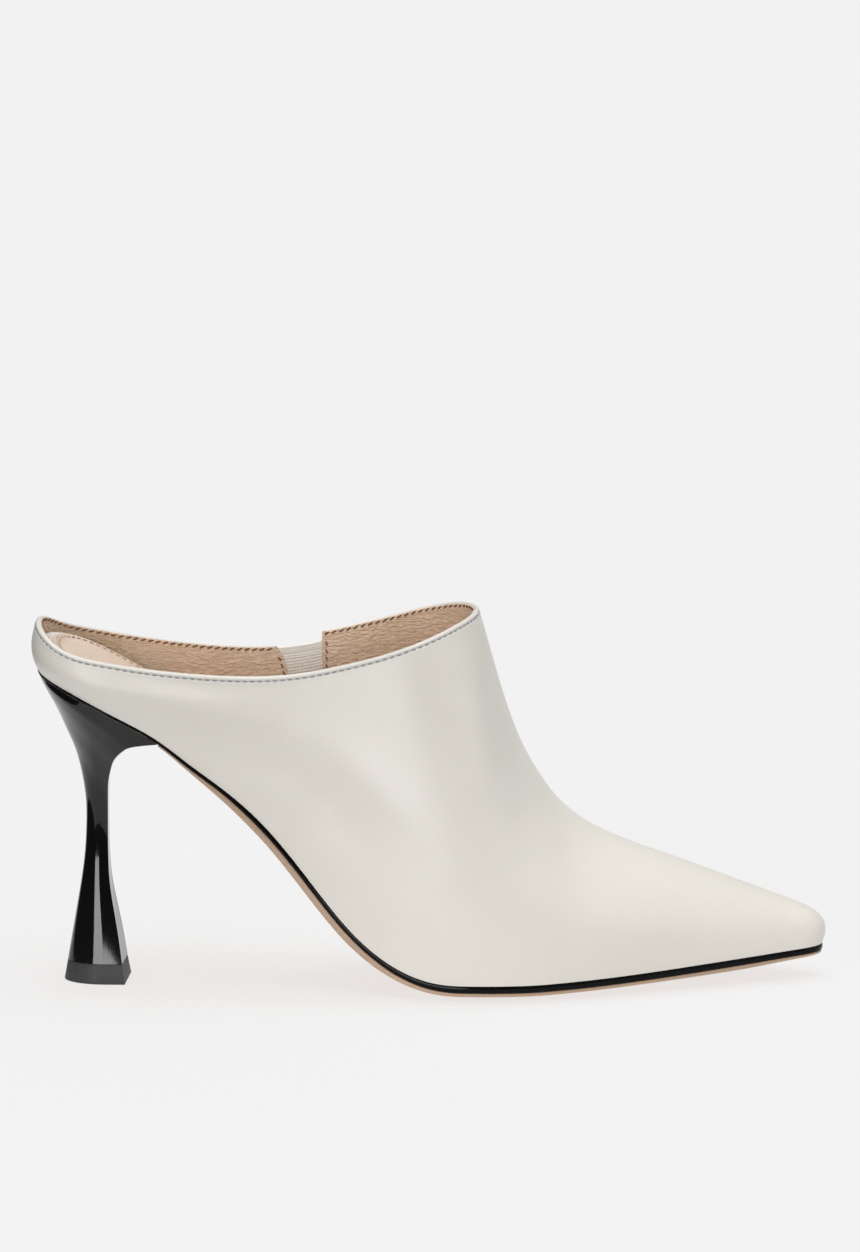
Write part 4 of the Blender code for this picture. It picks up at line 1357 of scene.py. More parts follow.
# The roll under the collar, the dip below it, the hollow over the waist and the vamp's fullness
SWELLS = (
    Swell((50.0, 91.0), (26.0, 7.0), -16.0, 1.8),
    Swell((52.0, 80.5), (24.0, 5.0), -26.0, -1.6),
    Swell((90.0, 57.0), (16.0, 8.0), -42.0, -1.2),
    Swell((150.0, 74.0), (34.0, 12.0), -52.0, 0.4),
    Swell((118.0, 78.0), (18.0, 14.0), -40.0, -0.35),
    Swell((103.0, 70.0), (20.0, 8.0), -44.0, 0.7),
)


def swell_relief(points: Array) -> Array:
    """Sum of the swells: each is a bell over its ellipse, whose long way is turned by degrees.

    Args:
        points: points of the wall.

    Returns:
        How far each point moves outwards.
    """
    total = np.zeros(points.shape[:-1])
    for swell in SWELLS:
        turn = np.radians(swell.turn)
        x = points[..., 0] - swell.centre[0]
        z = points[..., 2] - swell.centre[1]
        along = (x * np.cos(turn) + z * np.sin(turn)) / swell.reach[0]
        across = (z * np.cos(turn) - x * np.sin(turn)) / swell.reach[1]
        total += swell.height * np.exp(-along ** 2 - across ** 2)
    return total


def crease_relief(points: Array) -> Array:
    """Sum of the creases: each is a bell trough with half a bell beside it, faded to its ends.

    Args:
        points: points of the wall.

    Returns:
        How far each point moves outwards.
    """
    total = np.zeros(points.shape[:-1])
    for crease in CREASES:
        start, end = np.array(crease.start), np.array(crease.end)
        run = end - start
        length = np.hypot(*run)
        away = points[..., [0, 2]] - start
        along = (away @ run) / length ** 2
        across = (away @ np.array([-run[1], run[0]])) / length
        fade = ease(along / crease.end_share) * ease((1.0 - along) / crease.end_share)
        bend = across + crease.bow * length * np.sin(along * np.pi)
        ridge = hump(bend, crease.reach * crease.ridge_away, crease.reach)
        total += fade * crease.depth * (crease.ridge_share * ridge - hump(bend, 0.0, crease.reach))
    return total


def roll_in(distance: Array, height: float, wall: float) -> Array:
    """How far a face turns in at its edge: a quarter ellipse, half the wall deep."""
    share = np.clip(1.0 - distance / height, 0.0, 1.0)
    return wall / 2.0 * (1.0 - np.sqrt(np.clip(1.0 - share * share, 0.0, 1.0)))


class Ripple(NamedTuple):
    """A ridge or a groove along the collar: its height, its drop under the edge and its reach."""

    height: float
    drop: float
    reach: float


# The collar's puff, the groove of its stitches and the rise under the groove
RIPPLES = (
    Ripple(0.10, 0.75, 0.45),
    Ripple(-0.22, COLLAR_SEAM_DROP, 0.24),
    Ripple(0.06, 2.2, 0.4),
)


class Folds(NamedTuple):
    """Soft slanting folds of the lining: their height, how they lean, and their sizes."""

    height: float = 0.11
    across_lean: float = 0.9
    along_lean: float = 0.7
    across_size: float = 2.3
    wander: float = 0.8
    wander_size: float = 9.0
    swell_size: float = 6.0
    drift_size: float = 15.0

    def relief(self, points: Array) -> Array:
        """One sine across the folds, swelled and faded by a longer one along them.

        Args:
            points: points of the lining.

        Returns:
            How far each point moves outwards.
        """
        across = points[..., 0] + self.across_lean * points[..., 2]
        along = points[..., 0] - self.along_lean * points[..., 2]
        bend = self.wander * np.sin(along / self.wander_size)
        swell = 0.5 + 0.5 * np.sin(along / self.swell_size + across / self.drift_size)
        return self.height * np.sin(across / self.across_size + bend) * swell


@dataclass(frozen=True)
class Stitch:
    """A small ellipsoid with blunt ends that dips at its ends, and its turn in degrees."""

    length: float
    radius: float
    slant: float = 0.0
    pitch: float = 2.3
    blunt: float = 0.6
    dip: float = 0.35
    rings: int = 7

    def body(self) -> Array:
        """Points of one stitch along X: rings that are the sine of the way round to a power wide."""
        theta = np.linspace(0.0, np.pi, self.rings)[:, None]
        phi = np.linspace(0.0, 2.0 * np.pi, self.rings, endpoint=False)[None, :]
        girth = self.radius * np.sin(theta) ** self.blunt
        x = -self.length / 2.0 * np.cos(theta) + 0.0 * phi
        z = girth * np.sin(phi) - self.dip * self.radius * np.cos(theta) ** 2
        return np.stack([x, girth * np.cos(phi), z], axis=-1).reshape(-1, 3)

    def row(self, line: Array, normals: Array,
            skip: Along | None = None) -> Pair:
        """Stitches along a line, whose pitch is fitted to the line's length.

        Args:
            line: points of the line.
            normals: the surface's normals along it.
            skip: tells which places carry no stitch.

        Returns:
            Points and quads of all stitches.
        """
        run = np.concatenate([[0.0], np.cumsum(np.linalg.norm(np.diff(line, axis=0), axis=-1))])
        count = int(run[-1] / self.pitch)
        middle = (np.arange(count) + 0.5) * run[-1] / count

        def along(values: Array, where: Array) -> Array:
            """Values of the line at running lengths."""
            return np.stack([np.interp(where, run, values[:, axis]) for axis in range(3)], axis=-1)

        centre = along(line, middle)
        forward = unit(along(line, middle + 0.3) - along(line, middle - 0.3))
        up = unit(along(normals, middle))
        if skip is not None:
            kept = ~skip(centre)
            centre, forward, up = centre[kept], forward[kept], up[kept]
        across = unit(np.cross(up, forward))
        turn = np.radians(self.slant)
        forward, across = (forward * np.cos(turn) + across * np.sin(turn),
                           across * np.cos(turn) - forward * np.sin(turn))
        local = self.body()
        axes = np.stack([forward, across, up], axis=1)
        points = centre[:, None, :] + local[None] @ axes
        quads = grid_faces(self.rings, self.rings, closed=True).reshape(-1, 4)
        faces = quads[None] + (np.arange(len(centre)) * len(local))[:, None, None]
        return points.reshape(-1, 3), faces.reshape(-1, 4)


@dataclass(frozen=True)
class Elastic:
    """Sizes of the elastic panel: its ribs, its hem, its air at the ends and its grid."""

    thickness: float = 1.0
    rib: float = 0.96
    rib_height: float = 0.09
    hem: float = 2.6
    hem_fade: float = 0.6
    hem_groove: float = 0.18
    hem_reach: float = 0.25
    ends: float = 0.02
    drop: float = 0.4
    roll: float = 0.4
    rows: int = 230
    columns: int = 26

    def ribs(self, depth: Array) -> Array:
        """A cosine of the depth under the hem, and a bell groove at the hem's foot."""
        wave = self.rib_height * np.cos(2.0 * np.pi * depth / self.rib)
        groove = self.hem_groove * hump(depth, self.hem, self.hem_reach)
        return wave * Ramp(self.hem, self.hem_fade).at(depth) - groove


@dataclass
class Upper:
    """The leather upper with its folded collar, its lining, its gore and its seams."""

    last: Last
    bench: Workbench
    columns: Columns = field(default_factory=Columns)
    leather: float = 1.25
    fold_height: float = 0.9
    lining_drop: float = 0.2
    lining_seam_drop: float = 0.62
    lining_roll: float = 0.3
    lining_dimple: float = 0.14
    dimple_reach: float = 0.3
    lining: float = 0.5
    flap: float = 4.5
    slot_roll: float = 0.5
    deepest: float = 1.05
    off_edge: Ramp = Ramp(2.0, 6.0)
    off_feather: Ramp = Ramp(0.0, 6.0)
    fold_step: Ramp = Ramp(0.25, 0.2)
    slot_step: Ramp = Ramp(0.6, 0.4)
    collar_stitch: Stitch = Stitch(1.6, 0.27)
    lining_stitch: Stitch = Stitch(1.9, 0.28, 28.0)
    gore_stitch: Stitch = Stitch(1.6, 0.24, 20.0)
    collar_sink: float = 0.10
    thread_sink: float = 0.02
    gore_seam_gap: float = 0.8
    gore_seam_back: float = 1.2
    gore_seam_front: float = 1.3
    gore_seam_top: float = 3.0
    gore_seam_foot: float = 1.0
    gore_seam_points: int = 40
    elastic: Elastic = Elastic()

    def build(self) -> list[Object]:
        """Build every piece of the upper."""
        return [self.outer_leather(), self.lining_leather(), self.collar_seam(), self.lining_seam(),
                self.gore_seams(), self.gore()]

    def shell(self, grid: WallGrid, outer: Array, inner: Array) -> Pair:
        """Close a wall from its outer and its inner points.

        Both are the grid's points moved along its normals. The gore's slot is left out
        and gets side walls, and a strip closes the feather edge. The tops meet.

        Args:
            grid: the grid that both follow.
            outer: how far the outer points lie outwards.
            inner: how far the inner points lie outwards.

        Returns:
            Points and quads.
        """
        rows, count = grid.points.shape[:2]
        faces = []
        skins = []
        quads = grid_faces(rows, count, closed=True)
        slot = grid.half - 1 + grid.columns.gore_start
        keep = np.ones(quads.shape[:2], bool)
        keep[grid.LOW_ROWS:, slot:slot + grid.columns.gore] = False
        for number, out in enumerate((outer, inner)):
            skin = grid.points + grid.normals * out[..., None]
            grid.join_ridge(skin)
            skins.append(skin.reshape(-1, 3))
            faces.append(quads[keep] + number * rows * count)
        index = np.arange(rows * count).reshape(rows, count)
        end = slot + grid.columns.gore
        feather = np.append(index[0], index[0, 0])
        borders = [feather, index[grid.LOW_ROWS:, slot], index[grid.LOW_ROWS, slot:end + 1],
                   index[grid.LOW_ROWS:, end]]
        faces += [strip_faces(line, line + rows * count) for line in borders]
        return np.concatenate(skins), np.concatenate(faces)

    def edge_distance(self, grid: WallGrid) -> Pair:
        """Distance of each point to the collar's edge and to the slot's edges."""
        top = grid.LOW_ROWS
        to_collar = np.full(grid.points.shape[:2], FAR_AWAY)
        to_collar[top:] = distance_to_line(grid.points[top:], grid.collar_line())
        to_slot = np.full_like(to_collar, FAR_AWAY)
        near = slice(grid.half, grid.points.shape[1])
        lines = [distance_to_line(grid.points[top - 4:, near], line) for line in grid.slot_lines()]
        to_slot[top - 4:, near] = np.minimum.reduce(lines)
        return to_collar, to_slot

    def outer_leather(self) -> Object:
        """The leather, turned over at the collar, where it is as thick as the whole wall."""
        grid = WallGrid(self.last, self.columns)
        edge, slot = self.edge_distance(grid)
        puff = sum(ripple.height * hump(edge, ripple.drop, ripple.reach) for ripple in RIPPLES)
        roll = np.maximum(roll_in(edge, self.fold_height, self.last.wall),
                          roll_in(slot, self.slot_roll, self.last.wall))
        creases = np.maximum(crease_relief(grid.points) + swell_relief(grid.points), -self.deepest)
        creases = creases * self.off_edge.at(edge) * self.off_feather.at(np.arange(len(edge)))[:, None]
        thin = self.fold_step.at(edge) * self.slot_step.at(slot)
        depth = blend(self.last.wall, self.leather, thin)
        points, faces = self.shell(grid, puff + creases - roll, roll - depth)
        attributes = {"edge": np.tile(np.minimum(edge, 30.0).ravel(), 2)}
        shape = self.bench.mesh("upper_leather", points, faces, attributes=attributes)
        return dressed(shape, OFF_WHITE, "upper_leather", "upper")

    def lining_leather(self) -> Object:
        """The tan lining on the inside of the wall, its top edge a little under the collar's."""
        grid = WallGrid(self.last, self.columns, self.lining_drop, self.flap)
        edge, slot = self.edge_distance(grid)
        near = np.minimum(edge, slot)
        turn = roll_in(near, self.lining_roll, self.lining)
        dimple = self.lining_dimple * hump(edge, self.lining_seam_drop, self.dimple_reach)
        folds = Folds().relief(grid.points) * self.off_edge.at(near)
        points, faces = self.shell(grid, -(self.last.wall - self.lining) - turn,
                                   turn + dimple + folds - self.last.wall)
        return dressed(self.bench.mesh("lining", points, faces), TAN_LINING, "sock_leather")

    def line_under_collar(self, lowered: float, out: float) -> Pair:
        """A line parallel to the collar's edge and the wall's normals along it.

        Args:
            lowered: how far under the edge.
            out: how far outwards from the wall's outside.

        Returns:
            Points from the apex round the back to the apex, and normals.
        """
        grid = WallGrid(self.last, self.columns, lowered)
        apex = grid.columns.apex
        part = slice(grid.half - 1 - apex, grid.half + apex)
        return grid.points[-1, part] + grid.normals[-1, part] * out, grid.normals[-1, part]

    def collar_seam(self) -> Object:
        """The row of stitches in the groove under the folded edge."""
        line, normals = self.line_under_collar(COLLAR_SEAM_DROP, -self.collar_sink)
        row = self.collar_stitch.row(line, normals, self.over_gore)
        return dressed(self.bench.mesh("collar_stitches", *row), GREY_THREAD, "upper_leather")

    def over_gore(self, place: Array) -> Array:
        """Whether places lie over the gore's slot."""
        back, front = self.last.gore_back_x - self.gore_seam_gap, self.last.gore_front_x + self.gore_seam_gap
        return (place[:, 1] > 0.0) & (place[:, 0] > back) & (place[:, 0] < front)

    def lining_seam(self) -> Object:
        """The slanting brown stitches under the lining's top edge, but not over the gore."""
        drop = self.lining_drop + self.lining_seam_drop
        line, normals = self.line_under_collar(drop, -self.last.wall - self.thread_sink)
        row = self.lining_stitch.row(line, -normals, self.over_gore)
        return dressed(self.bench.mesh("lining_stitches", *row), BROWN_THREAD, "sock_leather")

    def gore_seams(self) -> Object:
        """The stitches down both sides of the gore, on the lining."""
        last = self.last
        rows = []
        for x, flap in ((last.gore_back_x - self.gore_seam_back, self.flap),
                        (last.gore_front_x + self.gore_seam_front, 0.0)):
            down = np.linspace(self.gore_seam_top, last.gore_depth - self.gore_seam_foot,
                               self.gore_seam_points)[:, None]
            turns = last.turn_at(x + flap_shift(down, flap) + np.array([-0.5, 0.0, 0.5]))
            wall = Rays(last, INNER_SIDE, turns).wall_points(lambda full: full - down)
            normals = unit(np.cross(wall[:, 2] - wall[:, 0], np.gradient(wall[:, 1], axis=0)))
            normals = normals * np.sign(normals[:1, 1:2])
            line = wall[:, 1] - normals * (last.wall + self.thread_sink)
            rows.append(self.gore_stitch.row(line, -normals))
        return dressed(self.bench.mesh("gore_stitches", *joined(rows)), GORE_THREAD, "sock_leather")

    def gore(self) -> Object:
        """The elastic panel: cord-like ribs along its length and a plain hem on top.

        Both faces are the wall's surface moved inwards, less or more by a sine of the
        distance from the top edge.

        Returns:
            The panel.
        """
        last, sizes = self.last, self.elastic
        x = np.linspace(last.gore_back_x + sizes.ends, last.gore_front_x - sizes.ends, sizes.columns)[None, :]
        top = sizes.drop + last.inner_lift(x)
        down = np.linspace(0.0, 1.0, sizes.rows)[:, None]
        below = blend(top, last.gore_depth - sizes.ends, down)
        turns = last.turn_at(np.broadcast_to(x, below.shape))
        wall = Rays(last, INNER_SIDE, turns).wall_points(lambda full: full - below)
        normals = unit(np.cross(np.gradient(wall, axis=1), np.gradient(wall, axis=0)))
        normals = normals * np.sign(normals[sizes.rows // 2, sizes.columns // 2, 1])
        depth = np.broadcast_to(below - top, below.shape)
        half = sizes.thickness / 2.0 - roll_in(depth, sizes.roll, sizes.thickness) + sizes.ribs(depth)
        skins = [wall + normals * (sign * half - last.wall / 2.0)[..., None] for sign in (1.0, -1.0)]
        rows, count = wall.shape[:2]
        index = np.arange(rows * count).reshape(rows, count)
        quads = grid_faces(rows, count).reshape(-1, 4)
        border = np.concatenate([index[0], index[1:, -1], index[-1, -2::-1], index[-2::-1, 0]])
        faces = np.concatenate([quads, quads + rows * count, strip_faces(border, border + rows * count)])
        along = np.tile(np.broadcast_to(x, below.shape).ravel(), 2)
        attributes = {"rib": np.tile(depth.ravel(), 2), "along": along}
        points = np.concatenate([skin.reshape(-1, 3) for skin in skins])
        return dressed(self.bench.mesh("gore", points, faces, attributes=attributes), ELASTIC,
                       "gore_elastic", "elastic_gore")


def dressed(shape: Object, finish: Finish, slot: str, *nodes: str) -> Object:
    """Give a piece its finish and its body, and hide the solids that it stands for.

    Args:
        shape: the piece.
        finish: its finish.
        slot: the record's material slot; not used.
        nodes: the solids that the piece replaces.

    Returns:
        The piece.
    """
    shape.data.materials.append(finish.build())
    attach(shape, BODY)
    if nodes:
        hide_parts(*nodes)
    triangles = sum(len(face.vertices) - 2 for face in shape.data.polygons)
    LOG.info("%s: %d triangles", shape.name, triangles)
    return shape


def joined(parts: Sequence[Pair]) -> Pair:
    """Join several sets of points and quads into one."""
    starts = np.cumsum([0] + [len(points) for points, _ in parts[:-1]])
    return (np.concatenate([points for points, _ in parts]),
            np.concatenate([faces + start for (_, faces), start in zip(parts, starts)]))


@dataclass
class SoleWorks:
    """What lies on and under the feather edge: insole, sock, rand, outsole, heel and lift."""

    last: Last
    bench: Workbench
    insole_size: float = 2.5
    clearance: float = 1.2
    cushion: float = 10.0
    cushion_end_x: float = 105.0
    cushion_dish: float = 2.4
    pad: float = 1.0
    pad_margin: float = 3.4
    pad_front_gap: float = 24.0
    pad_round: float = 0.8
    pad_rise: float = 0.9
    pad_swell: float = 0.25
    pad_swell_run: float = 3.0
    pad_seam_in: float = 2.0
    pad_groove: float = 0.12
    pad_groove_reach: float = 0.7
    pad_seam_over: float = 0.06
    pad_seam_dish: float = 0.12
    pad_stitch: Stitch = Stitch(1.6, 0.17)
    insole_round: float = 0.9
    insole_side_share: float = 0.45
    outsole_round: float = 0.22
    outsole_air: float = 0.7
    outsole_inset: float = 0.15
    seat_inset: float = 0.2
    rand_proud: float = 0.2
    rand_down: float = 0.35
    rand_down_in_front: Ramp = Ramp(95.0, 50.0)
    rand_up: float = 0.45
    rand_up_from: Ramp = Ramp(45.0, 15.0)
    rand_up_until: Ramp = Ramp(125.0, -30.0)
    rand_round: float = 0.3
    rand_air: float = 0.1
    heel_air: float = 0.2
    heel_ribs: tuple[int, int] = (30, 14)
    heel_top_share: float = 0.05
    heel_rings: tuple[int, int] = (12, 76)
    heel_sharp: float = 38.0
    base_back_x: float = 10.6
    base_length: float = 17.6
    base_width: float = 16.4
    base_twist: float = -5.0
    lift_height: float = 6.2
    lift_flare: float = 1.0
    parts: int = 24

    def turns(self, columns: Counts, start_x: float | None = None) -> Array:
        """Rays for a sole's ribs, from the back or from a place along the shoe to the tip."""
        heel_count, middle_count, toe_count = columns
        heel = np.linspace(0.0, 1.0, heel_count, endpoint=False) if start_x is None else np.array([])
        start = self.last.heel_centre_x if start_x is None else start_x
        middle = self.last.turn_at(np.linspace(start, self.last.toe_centre_x, middle_count, endpoint=False))
        return np.concatenate([heel, middle, np.linspace(2.0, 3.0, toe_count)])

    @staticmethod
    def inset(points: Array, distance: float) -> Array:
        """Move a half outline square to itself, inwards, in plan."""
        side = np.sign(np.sum(points[:, 1] - np.mean(points[[0, -1], 1]))) or 1.0
        run = np.gradient(points[:, :2], axis=0)
        run[0] = (0.0, side) if abs(run[0][0]) < abs(run[0][1]) else run[0]
        square = unit(np.stack([-run[:, 1], run[:, 0]], axis=-1) * -side)
        moved = points.copy()
        moved[:, :2] += square * distance
        return moved

    def outline(self, turns: Array, distance: float = 0.0,
                over_feather: Array | float = 0.0) -> Pair:
        """Outer and inner halves of the last's outline, inset by a distance.

        Args:
            turns: the rays.
            distance: the inset.
            over_feather: height over the feather edge at which the wall is read.

        Returns:
            Two arrays of points.
        """
        halves = []
        for side in (OUTER_SIDE, INNER_SIDE):
            points = Rays(self.last, side, turns).ring(over_feather)
            moved = self.inset(points, distance)
            if turns[0] == 0.0:
                moved[0, 1] = points[0, 1]
                moved[0, 0] = points[0, 0] + distance
            if turns[-1] == 3.0:
                moved[-1, 1] = points[-1, 1]
                moved[-1, 0] = points[-1, 0] - distance
            halves.append(moved)
        return halves[0], halves[1]

    @staticmethod
    def sole_sag(across: Array) -> Array:
        """Level in the middle half, and up to the edges by the square of the way."""
        return 1.0 - np.clip(2.0 * np.abs(across) - 1.0, 0.0, 1.0) ** 2

    @staticmethod
    def dish(across: Array) -> Array:
        """A shallow bowl: one less the square of the way across."""
        return 1.0 - across * across

    def level(self, halves: Pair, z: Array, sag: Array | float,
              shape: Along | None = None) -> Array:
        """Ribs across an outline at height z, sagging between its edges.

        Args:
            halves: the outline's two halves.
            z: height of each rib's ends.
            sag: how far its middle hangs.
            shape: sag's share by the way across.

        Returns:
            An array of ribs, points across and X, Y, Z.
        """
        outer, inner = halves
        across = np.linspace(-1.0, 1.0, self.parts + 1)
        hang = (shape or self.sole_sag)(across)
        middle, half = (outer + inner) / 2.0, (inner - outer) / 2.0
        ribs = middle[:, None, :] + half[:, None, :] * across[None, :, None]
        depth = sag * ease(half[:, 1] / (self.last.curl_share * self.last.seat_width))
        ribs[:, :, 2] = np.broadcast_to(z, len(outer))[:, None] - depth[:, None] * hang[None, :]
        return ribs

    def stack(self, levels: Sequence[Array]) -> Pair:
        """A closed body through levels of ribs, capped by the first and the last."""
        count, parts = levels[0].shape[:2]
        index = np.arange(count * parts).reshape(count, parts)
        border = np.concatenate([index[:, 0], index[-1, 1:], index[-2::-1, -1], index[0, -2:0:-1]])
        rings = np.stack([level.reshape(-1, 3)[border] for level in levels])
        walls = grid_faces(len(levels), len(border), closed=True).reshape(-1, 4)
        cap = grid_faces(count, parts).reshape(-1, 4)
        return joined([(rings.reshape(-1, 3), walls), (levels[0].reshape(-1, 3), cap),
                       (levels[-1].reshape(-1, 3), cap)])

    @staticmethod
    def rib_x(halves: Pair) -> Array:
        """Place of each rib."""
        return (halves[0][:, 0] + halves[1][:, 0]) / 2.0

    def edged_layer(self, columns: Counts, start_x: float | None, inset: float,
                    top_of: Along, thickness_of: Along, round_in: float
                    ) -> Pair:
        """A sole layer whose edge is a half ellipse in section.

        Args:
            columns: counts of ribs.
            start_x: where the layer starts, or None for the back.
            inset: how far the edge lies inside the last's outline.
            top_of: height of the layer's top at a place.
            thickness_of: its thickness there.
            round_in: how far the edge draws in at top and bottom.

        Returns:
            Points and quads.
        """
        turns = self.turns(columns, start_x)
        levels = []
        for angle in np.radians(np.linspace(-90.0, 90.0, 7)):
            halves = self.outline(turns, inset + round_in * (1.0 - np.cos(angle)))
            x = self.rib_x(halves)
            thickness = self.last.drop(x, thickness_of(x))
            z = top_of(x) - thickness * (1.0 - np.sin(angle)) / 2.0
            levels.append(self.level(halves, z, self.last.edge_lift))
        return self.stack(levels)

    def rand_over(self, x: Array) -> Array:
        """How far the rand is turned down over the outsole's edge in front, and up in the arch."""
        arch = self.rand_up_from.at(x) * self.rand_up_until.at(x)
        return self.rand_down * self.rand_down_in_front.at(x) - self.rand_up * arch

    def build_rand(self) -> Object:
        """The glossy black strip under the upper, all the way round."""
        last = self.last
        air = last.gap * self.rand_air

        def top(x: Array) -> Array:
            """Just under the feather edge."""
            return last.feather_z(x) - last.drop(x, air)

        def thickness(x: Array) -> Array:
            """Down to the outsole and over its edge."""
            return last.rand_thickness(x) + last.gap - air + self.rand_over(x)

        points, faces = self.edged_layer((16, 120, 22), None, -self.rand_proud, top, thickness,
                                         self.rand_round)
        return dressed(self.bench.mesh("rand_strip", points, faces), EDGE_INK, "rand_black", "rand")

    def build_outsole(self) -> Object:
        """The leather outsole, from the breast of the heel to the toe."""
        last = self.last

        def higher(x: Array) -> Array:
            """How far it reaches up into the air under the rand."""
            return last.gap * self.outsole_air - self.rand_over(x)

        points, faces = self.edged_layer((0, 120, 22), last.breast_x + last.gap, self.outsole_inset,
                                         lambda x: last.under_rand(x) + last.drop(x, higher(x)),
                                         lambda x: last.outsole_thickness(x) + higher(x),
                                         self.outsole_round)
        return dressed(self.bench.mesh("leather_outsole", points, faces), TAN_SOLE,
                       "outsole_leather", "outsole")

    def insole_thickness(self, x: Array) -> Array:
        """The cushion under the heel, eased down to the board."""
        share = ease((x - self.last.heel_centre_x) / (self.cushion_end_x - self.last.heel_centre_x))
        return blend(self.cushion, self.insole_size, share)

    def dish_at(self, x: Array) -> Array:
        """How deep the cushion is dished, by its share of thickness."""
        over = self.insole_thickness(x) - self.insole_size
        return self.cushion_dish * over / (self.cushion - self.insole_size)

    def build_insole(self) -> Object:
        """The board and its heel cushion, in ivory leather that is turned over its edge."""
        last = self.last
        turns = self.turns((16, 90, 14))
        thickness = self.insole_thickness(self.rib_x(self.outline(turns)))
        inset = last.wall + self.clearance
        levels = []
        for share in (0.0, self.insole_side_share):
            halves = self.outline(turns, inset, thickness * share)
            x = self.rib_x(halves)
            z = last.feather_z(x) + self.insole_thickness(x) * share
            levels.append(self.level(halves, z, last.edge_lift))
        for angle in np.radians(np.linspace(0.0, 90.0, 6)):
            halves = self.outline(turns, inset + self.insole_round * (1.0 - np.cos(angle)), thickness)
            x = self.rib_x(halves)
            z = last.feather_z(x) + self.insole_thickness(x) - self.insole_round * (1.0 - np.sin(angle))
            levels.append(self.level(halves, z, self.dish_at(x), self.dish))
        return dressed(self.bench.mesh("insole_cover", *self.stack(levels)), IVORY,
                       "insole_leather", "insole")

    def pad_outline(self, distance: float) -> tuple[Pair, Array, Array]:
        """The sock's outline inset by a distance, each rib's place and its lower height."""
        last = self.last
        front = last.turn_at(last.length - self.pad_front_gap)
        turns = self.turns((18, 96, 14))
        turns = np.append(turns[turns < front], front)
        thickness = self.insole_thickness(self.rib_x(self.outline(turns)))
        halves = self.outline(turns, last.wall + self.clearance + self.pad_margin + distance, thickness)
        x = self.rib_x(halves)
        return halves, x, last.feather_z(x) + self.insole_thickness(x) + last.drop(x, last.gap)

    def build_sock(self) -> list[Object]:
        """The padded sock: its edge is rolled, and a stitched channel runs round inside it."""
        levels = []
        for angle in np.radians(np.linspace(-30.0, 90.0, 7)):
            halves, x, low = self.pad_outline(self.pad_round * (1.0 - np.cos(angle)))
            rise = self.last.drop(x, self.pad) * (0.5 + 0.5 * np.sin(angle)) * self.pad_rise
            levels.append(self.level(halves, low - self.last.gap + rise, self.dish_at(x), self.dish))
        top = levels[-1]
        across = np.linspace(-1.0, 1.0, self.parts + 1)
        half = (top[:, -1, 1] - top[:, 0, 1]) / 2.0
        from_edge = half[:, None] * (1.0 - np.abs(across))[None, :]
        swell = self.pad_swell * Ramp(self.pad_seam_in, self.pad_swell_run).at(from_edge)
        top[:, :, 2] += swell - self.pad_groove * hump(from_edge, self.pad_seam_in, self.pad_groove_reach)
        shape = self.bench.mesh("sock", *self.stack(levels))
        dressed(shape, SOCK_LEATHER, "sock_leather", "sock_pad")
        return [shape, self.sock_seam()]

    def sock_seam(self) -> Object:
        """The stitches round the sock, inside its edge."""
        halves, x, low = self.pad_outline(self.pad_seam_in)
        height = low - self.last.gap + self.last.drop(x, self.pad) * self.pad_rise + self.pad_seam_over
        outer, inner = halves
        outer[:, 2] = inner[:, 2] = height - self.dish_at(x) * self.pad_seam_dish
        line = np.concatenate([outer[::-1], inner[1:]])
        slope = np.gradient(height, x)
        up = unit(np.stack([-slope, 0.0 * slope, np.ones_like(slope)], axis=-1))
        row = self.pad_stitch.row(line, np.concatenate([up[::-1], up[1:]]))
        return dressed(self.bench.mesh("sock_stitches", *row), BEIGE_THREAD, "sock_leather")

    def seat(self, round_columns: int, straight_columns: int) -> Array:
        """The heel's ribs on the seat, from its back to the breast."""
        last = self.last
        turns = np.concatenate([
            np.linspace(0.0, 1.0, round_columns, endpoint=False),
            last.turn_at(np.linspace(last.heel_centre_x, last.breast_x, straight_columns)),
        ])
        halves = self.outline(turns, self.seat_inset)
        return self.level(halves, last.under_rand(self.rib_x(halves)), last.edge_lift)

    @staticmethod
    def ring(seat: Array, back: float, front: float, half_width: float,
             twist: float) -> Array:
        """The seat's ribs squeezed between a back and a front and to a half width, then turned.

        Args:
            seat: the ribs.
            back: where the ring starts.
            front: where it ends.
            half_width: its half width.
            twist: its turn in degrees.

        Returns:
            The moved ribs.
        """
        seat_back, seat_front = seat[:, :, 0].min(), seat[:, :, 0].max()
        seat_half = np.abs(seat[:, :, 1]).max()
        run = back + (seat[:, :, 0] - seat_back) * (front - back) / (seat_front - seat_back)
        across = seat[:, :, 1] * half_width / seat_half
        middle = (back + front) / 2.0
        run = run - middle
        turn = np.radians(twist)
        return np.stack([middle + run * np.cos(turn) - across * np.sin(turn),
                         run * np.sin(turn) + across * np.cos(turn), seat[:, :, 2]], axis=-1)

    def lift_ring(self, seat: Array, grow: float, z: float) -> Array:
        """A ring of the top lift, grown past the heel's base."""
        ring = self.ring(seat, self.base_back_x - grow, self.base_back_x + self.base_length + grow,
                         self.base_width / 2.0 + grow, self.base_twist)
        ring[:, :, 2] = z
        return ring

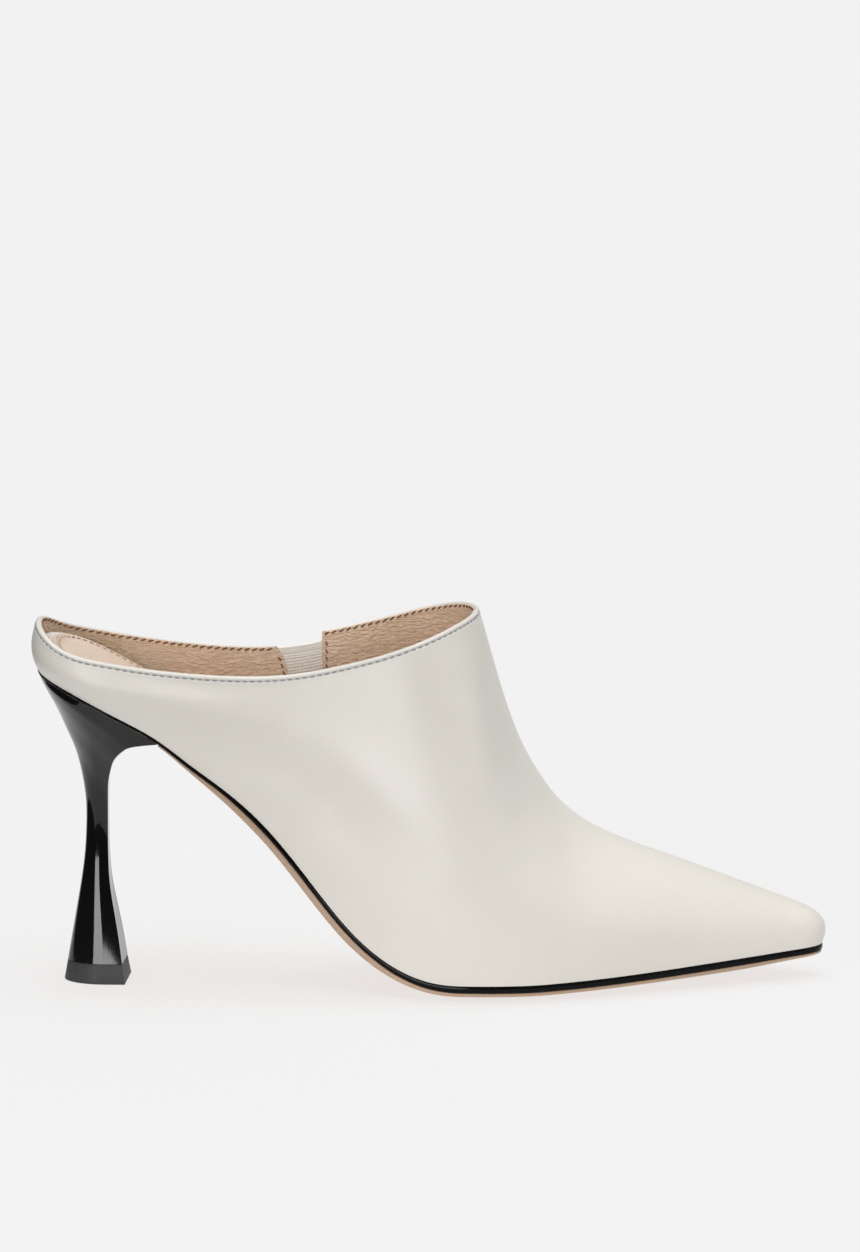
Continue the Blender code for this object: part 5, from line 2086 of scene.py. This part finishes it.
    def build_heel(self) -> Object:
        """The heel block, from the cupped seat through its waist to the flared base."""
        seat = self.seat(*self.heel_ribs)
        base_z = self.lift_height + self.last.gap * self.heel_air
        seat_back, seat_front = seat[:, :, 0].min(), seat[:, :, 0].max()
        seat_half = np.abs(seat[:, :, 1]).max()
        base_front = self.base_back_x + self.base_length
        base_share = self.base_width / 2.0 / seat_half
        downs = [row.down for row in HEEL]
        back = Spline(downs, [row.back for row in HEEL])
        front = Spline(downs, [row.front for row in HEEL])
        width = Spline(downs, [row.width for row in HEEL])
        levels = [seat]
        top_count, count = self.heel_rings
        places = np.concatenate([np.linspace(0.0, self.heel_top_share, top_count)[1:],
                                 np.linspace(self.heel_top_share, 1.0, count)[1:]])
        for down in places:
            half = seat_half * blend(1.0, base_share, (1.0 - width(down)) / (1.0 - HEEL[-1].width))
            ring = self.ring(seat, blend(seat_back, self.base_back_x, back(down)),
                             blend(seat_front, base_front, front(down)), half, self.base_twist * ease(down))
            ring[:, :, 2] = blend(seat[:, :, 2], base_z, down)
            levels.append(ring)
        shape = self.bench.mesh("lacquered_heel", *self.stack(levels), sharp=self.heel_sharp)
        return dressed(shape, HEEL_LACQUER, "heel_gloss", "heel_block")

    def build_lift(self) -> Object:
        """The rubber tip, a little wider at the floor, with eased edges."""
        seat = self.seat(*self.heel_ribs)
        rows = ((0.0, self.lift_flare - 0.35), (0.12, self.lift_flare - 0.1), (0.4, self.lift_flare),
                (self.lift_height / 2.0, self.lift_flare * 0.5), (self.lift_height - 0.3, 0.02),
                (self.lift_height - 0.06, -0.08), (self.lift_height, -0.25))
        points, faces = self.stack([self.lift_ring(seat, grow, z) for z, grow in rows])
        shape = self.bench.mesh("rubber_lift", points, faces, sharp=self.heel_sharp)
        return dressed(shape, BLACK_RUBBER, "lift_rubber", "top_lift")


def frame_offset(last: Last) -> Array:
    """Offset from the last's frame to the shared one, in millimetres.

    The rand's back lies at the last's back inset, and the top lift's box is centred on
    its own lowest ring, on the floor.
    """
    works = SoleWorks(last, Workbench(np.zeros(3)), parts=4)
    ring = works.lift_ring(works.seat(7, 4), works.lift_flare, 0.0)
    low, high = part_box("top_lift")
    centre_y = (ring[:, :, 1].min() + ring[:, :, 1].max()) / 2.0
    return np.array([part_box("rand")[0].x / MM - last.back_inset,
                     (low.y + high.y) / 2.0 / MM - centre_y, low.z / MM])


def main() -> None:
    """Build the shoe piece by piece, then the studio."""
    logging.basicConfig(level=logging.INFO, format="%(name)s %(message)s")
    last = Last()
    offset = frame_offset(last)
    LOG.info("offset %s", offset.round(3).tolist())
    bench = Workbench(offset)
    Upper(last, bench).build()
    works = SoleWorks(last, bench)
    works.build_insole()
    works.build_sock()
    works.build_rand()
    works.build_outsole()
    works.build_heel()
    works.build_lift()
    Studio().build()


if __name__ == "__main__":
    main()
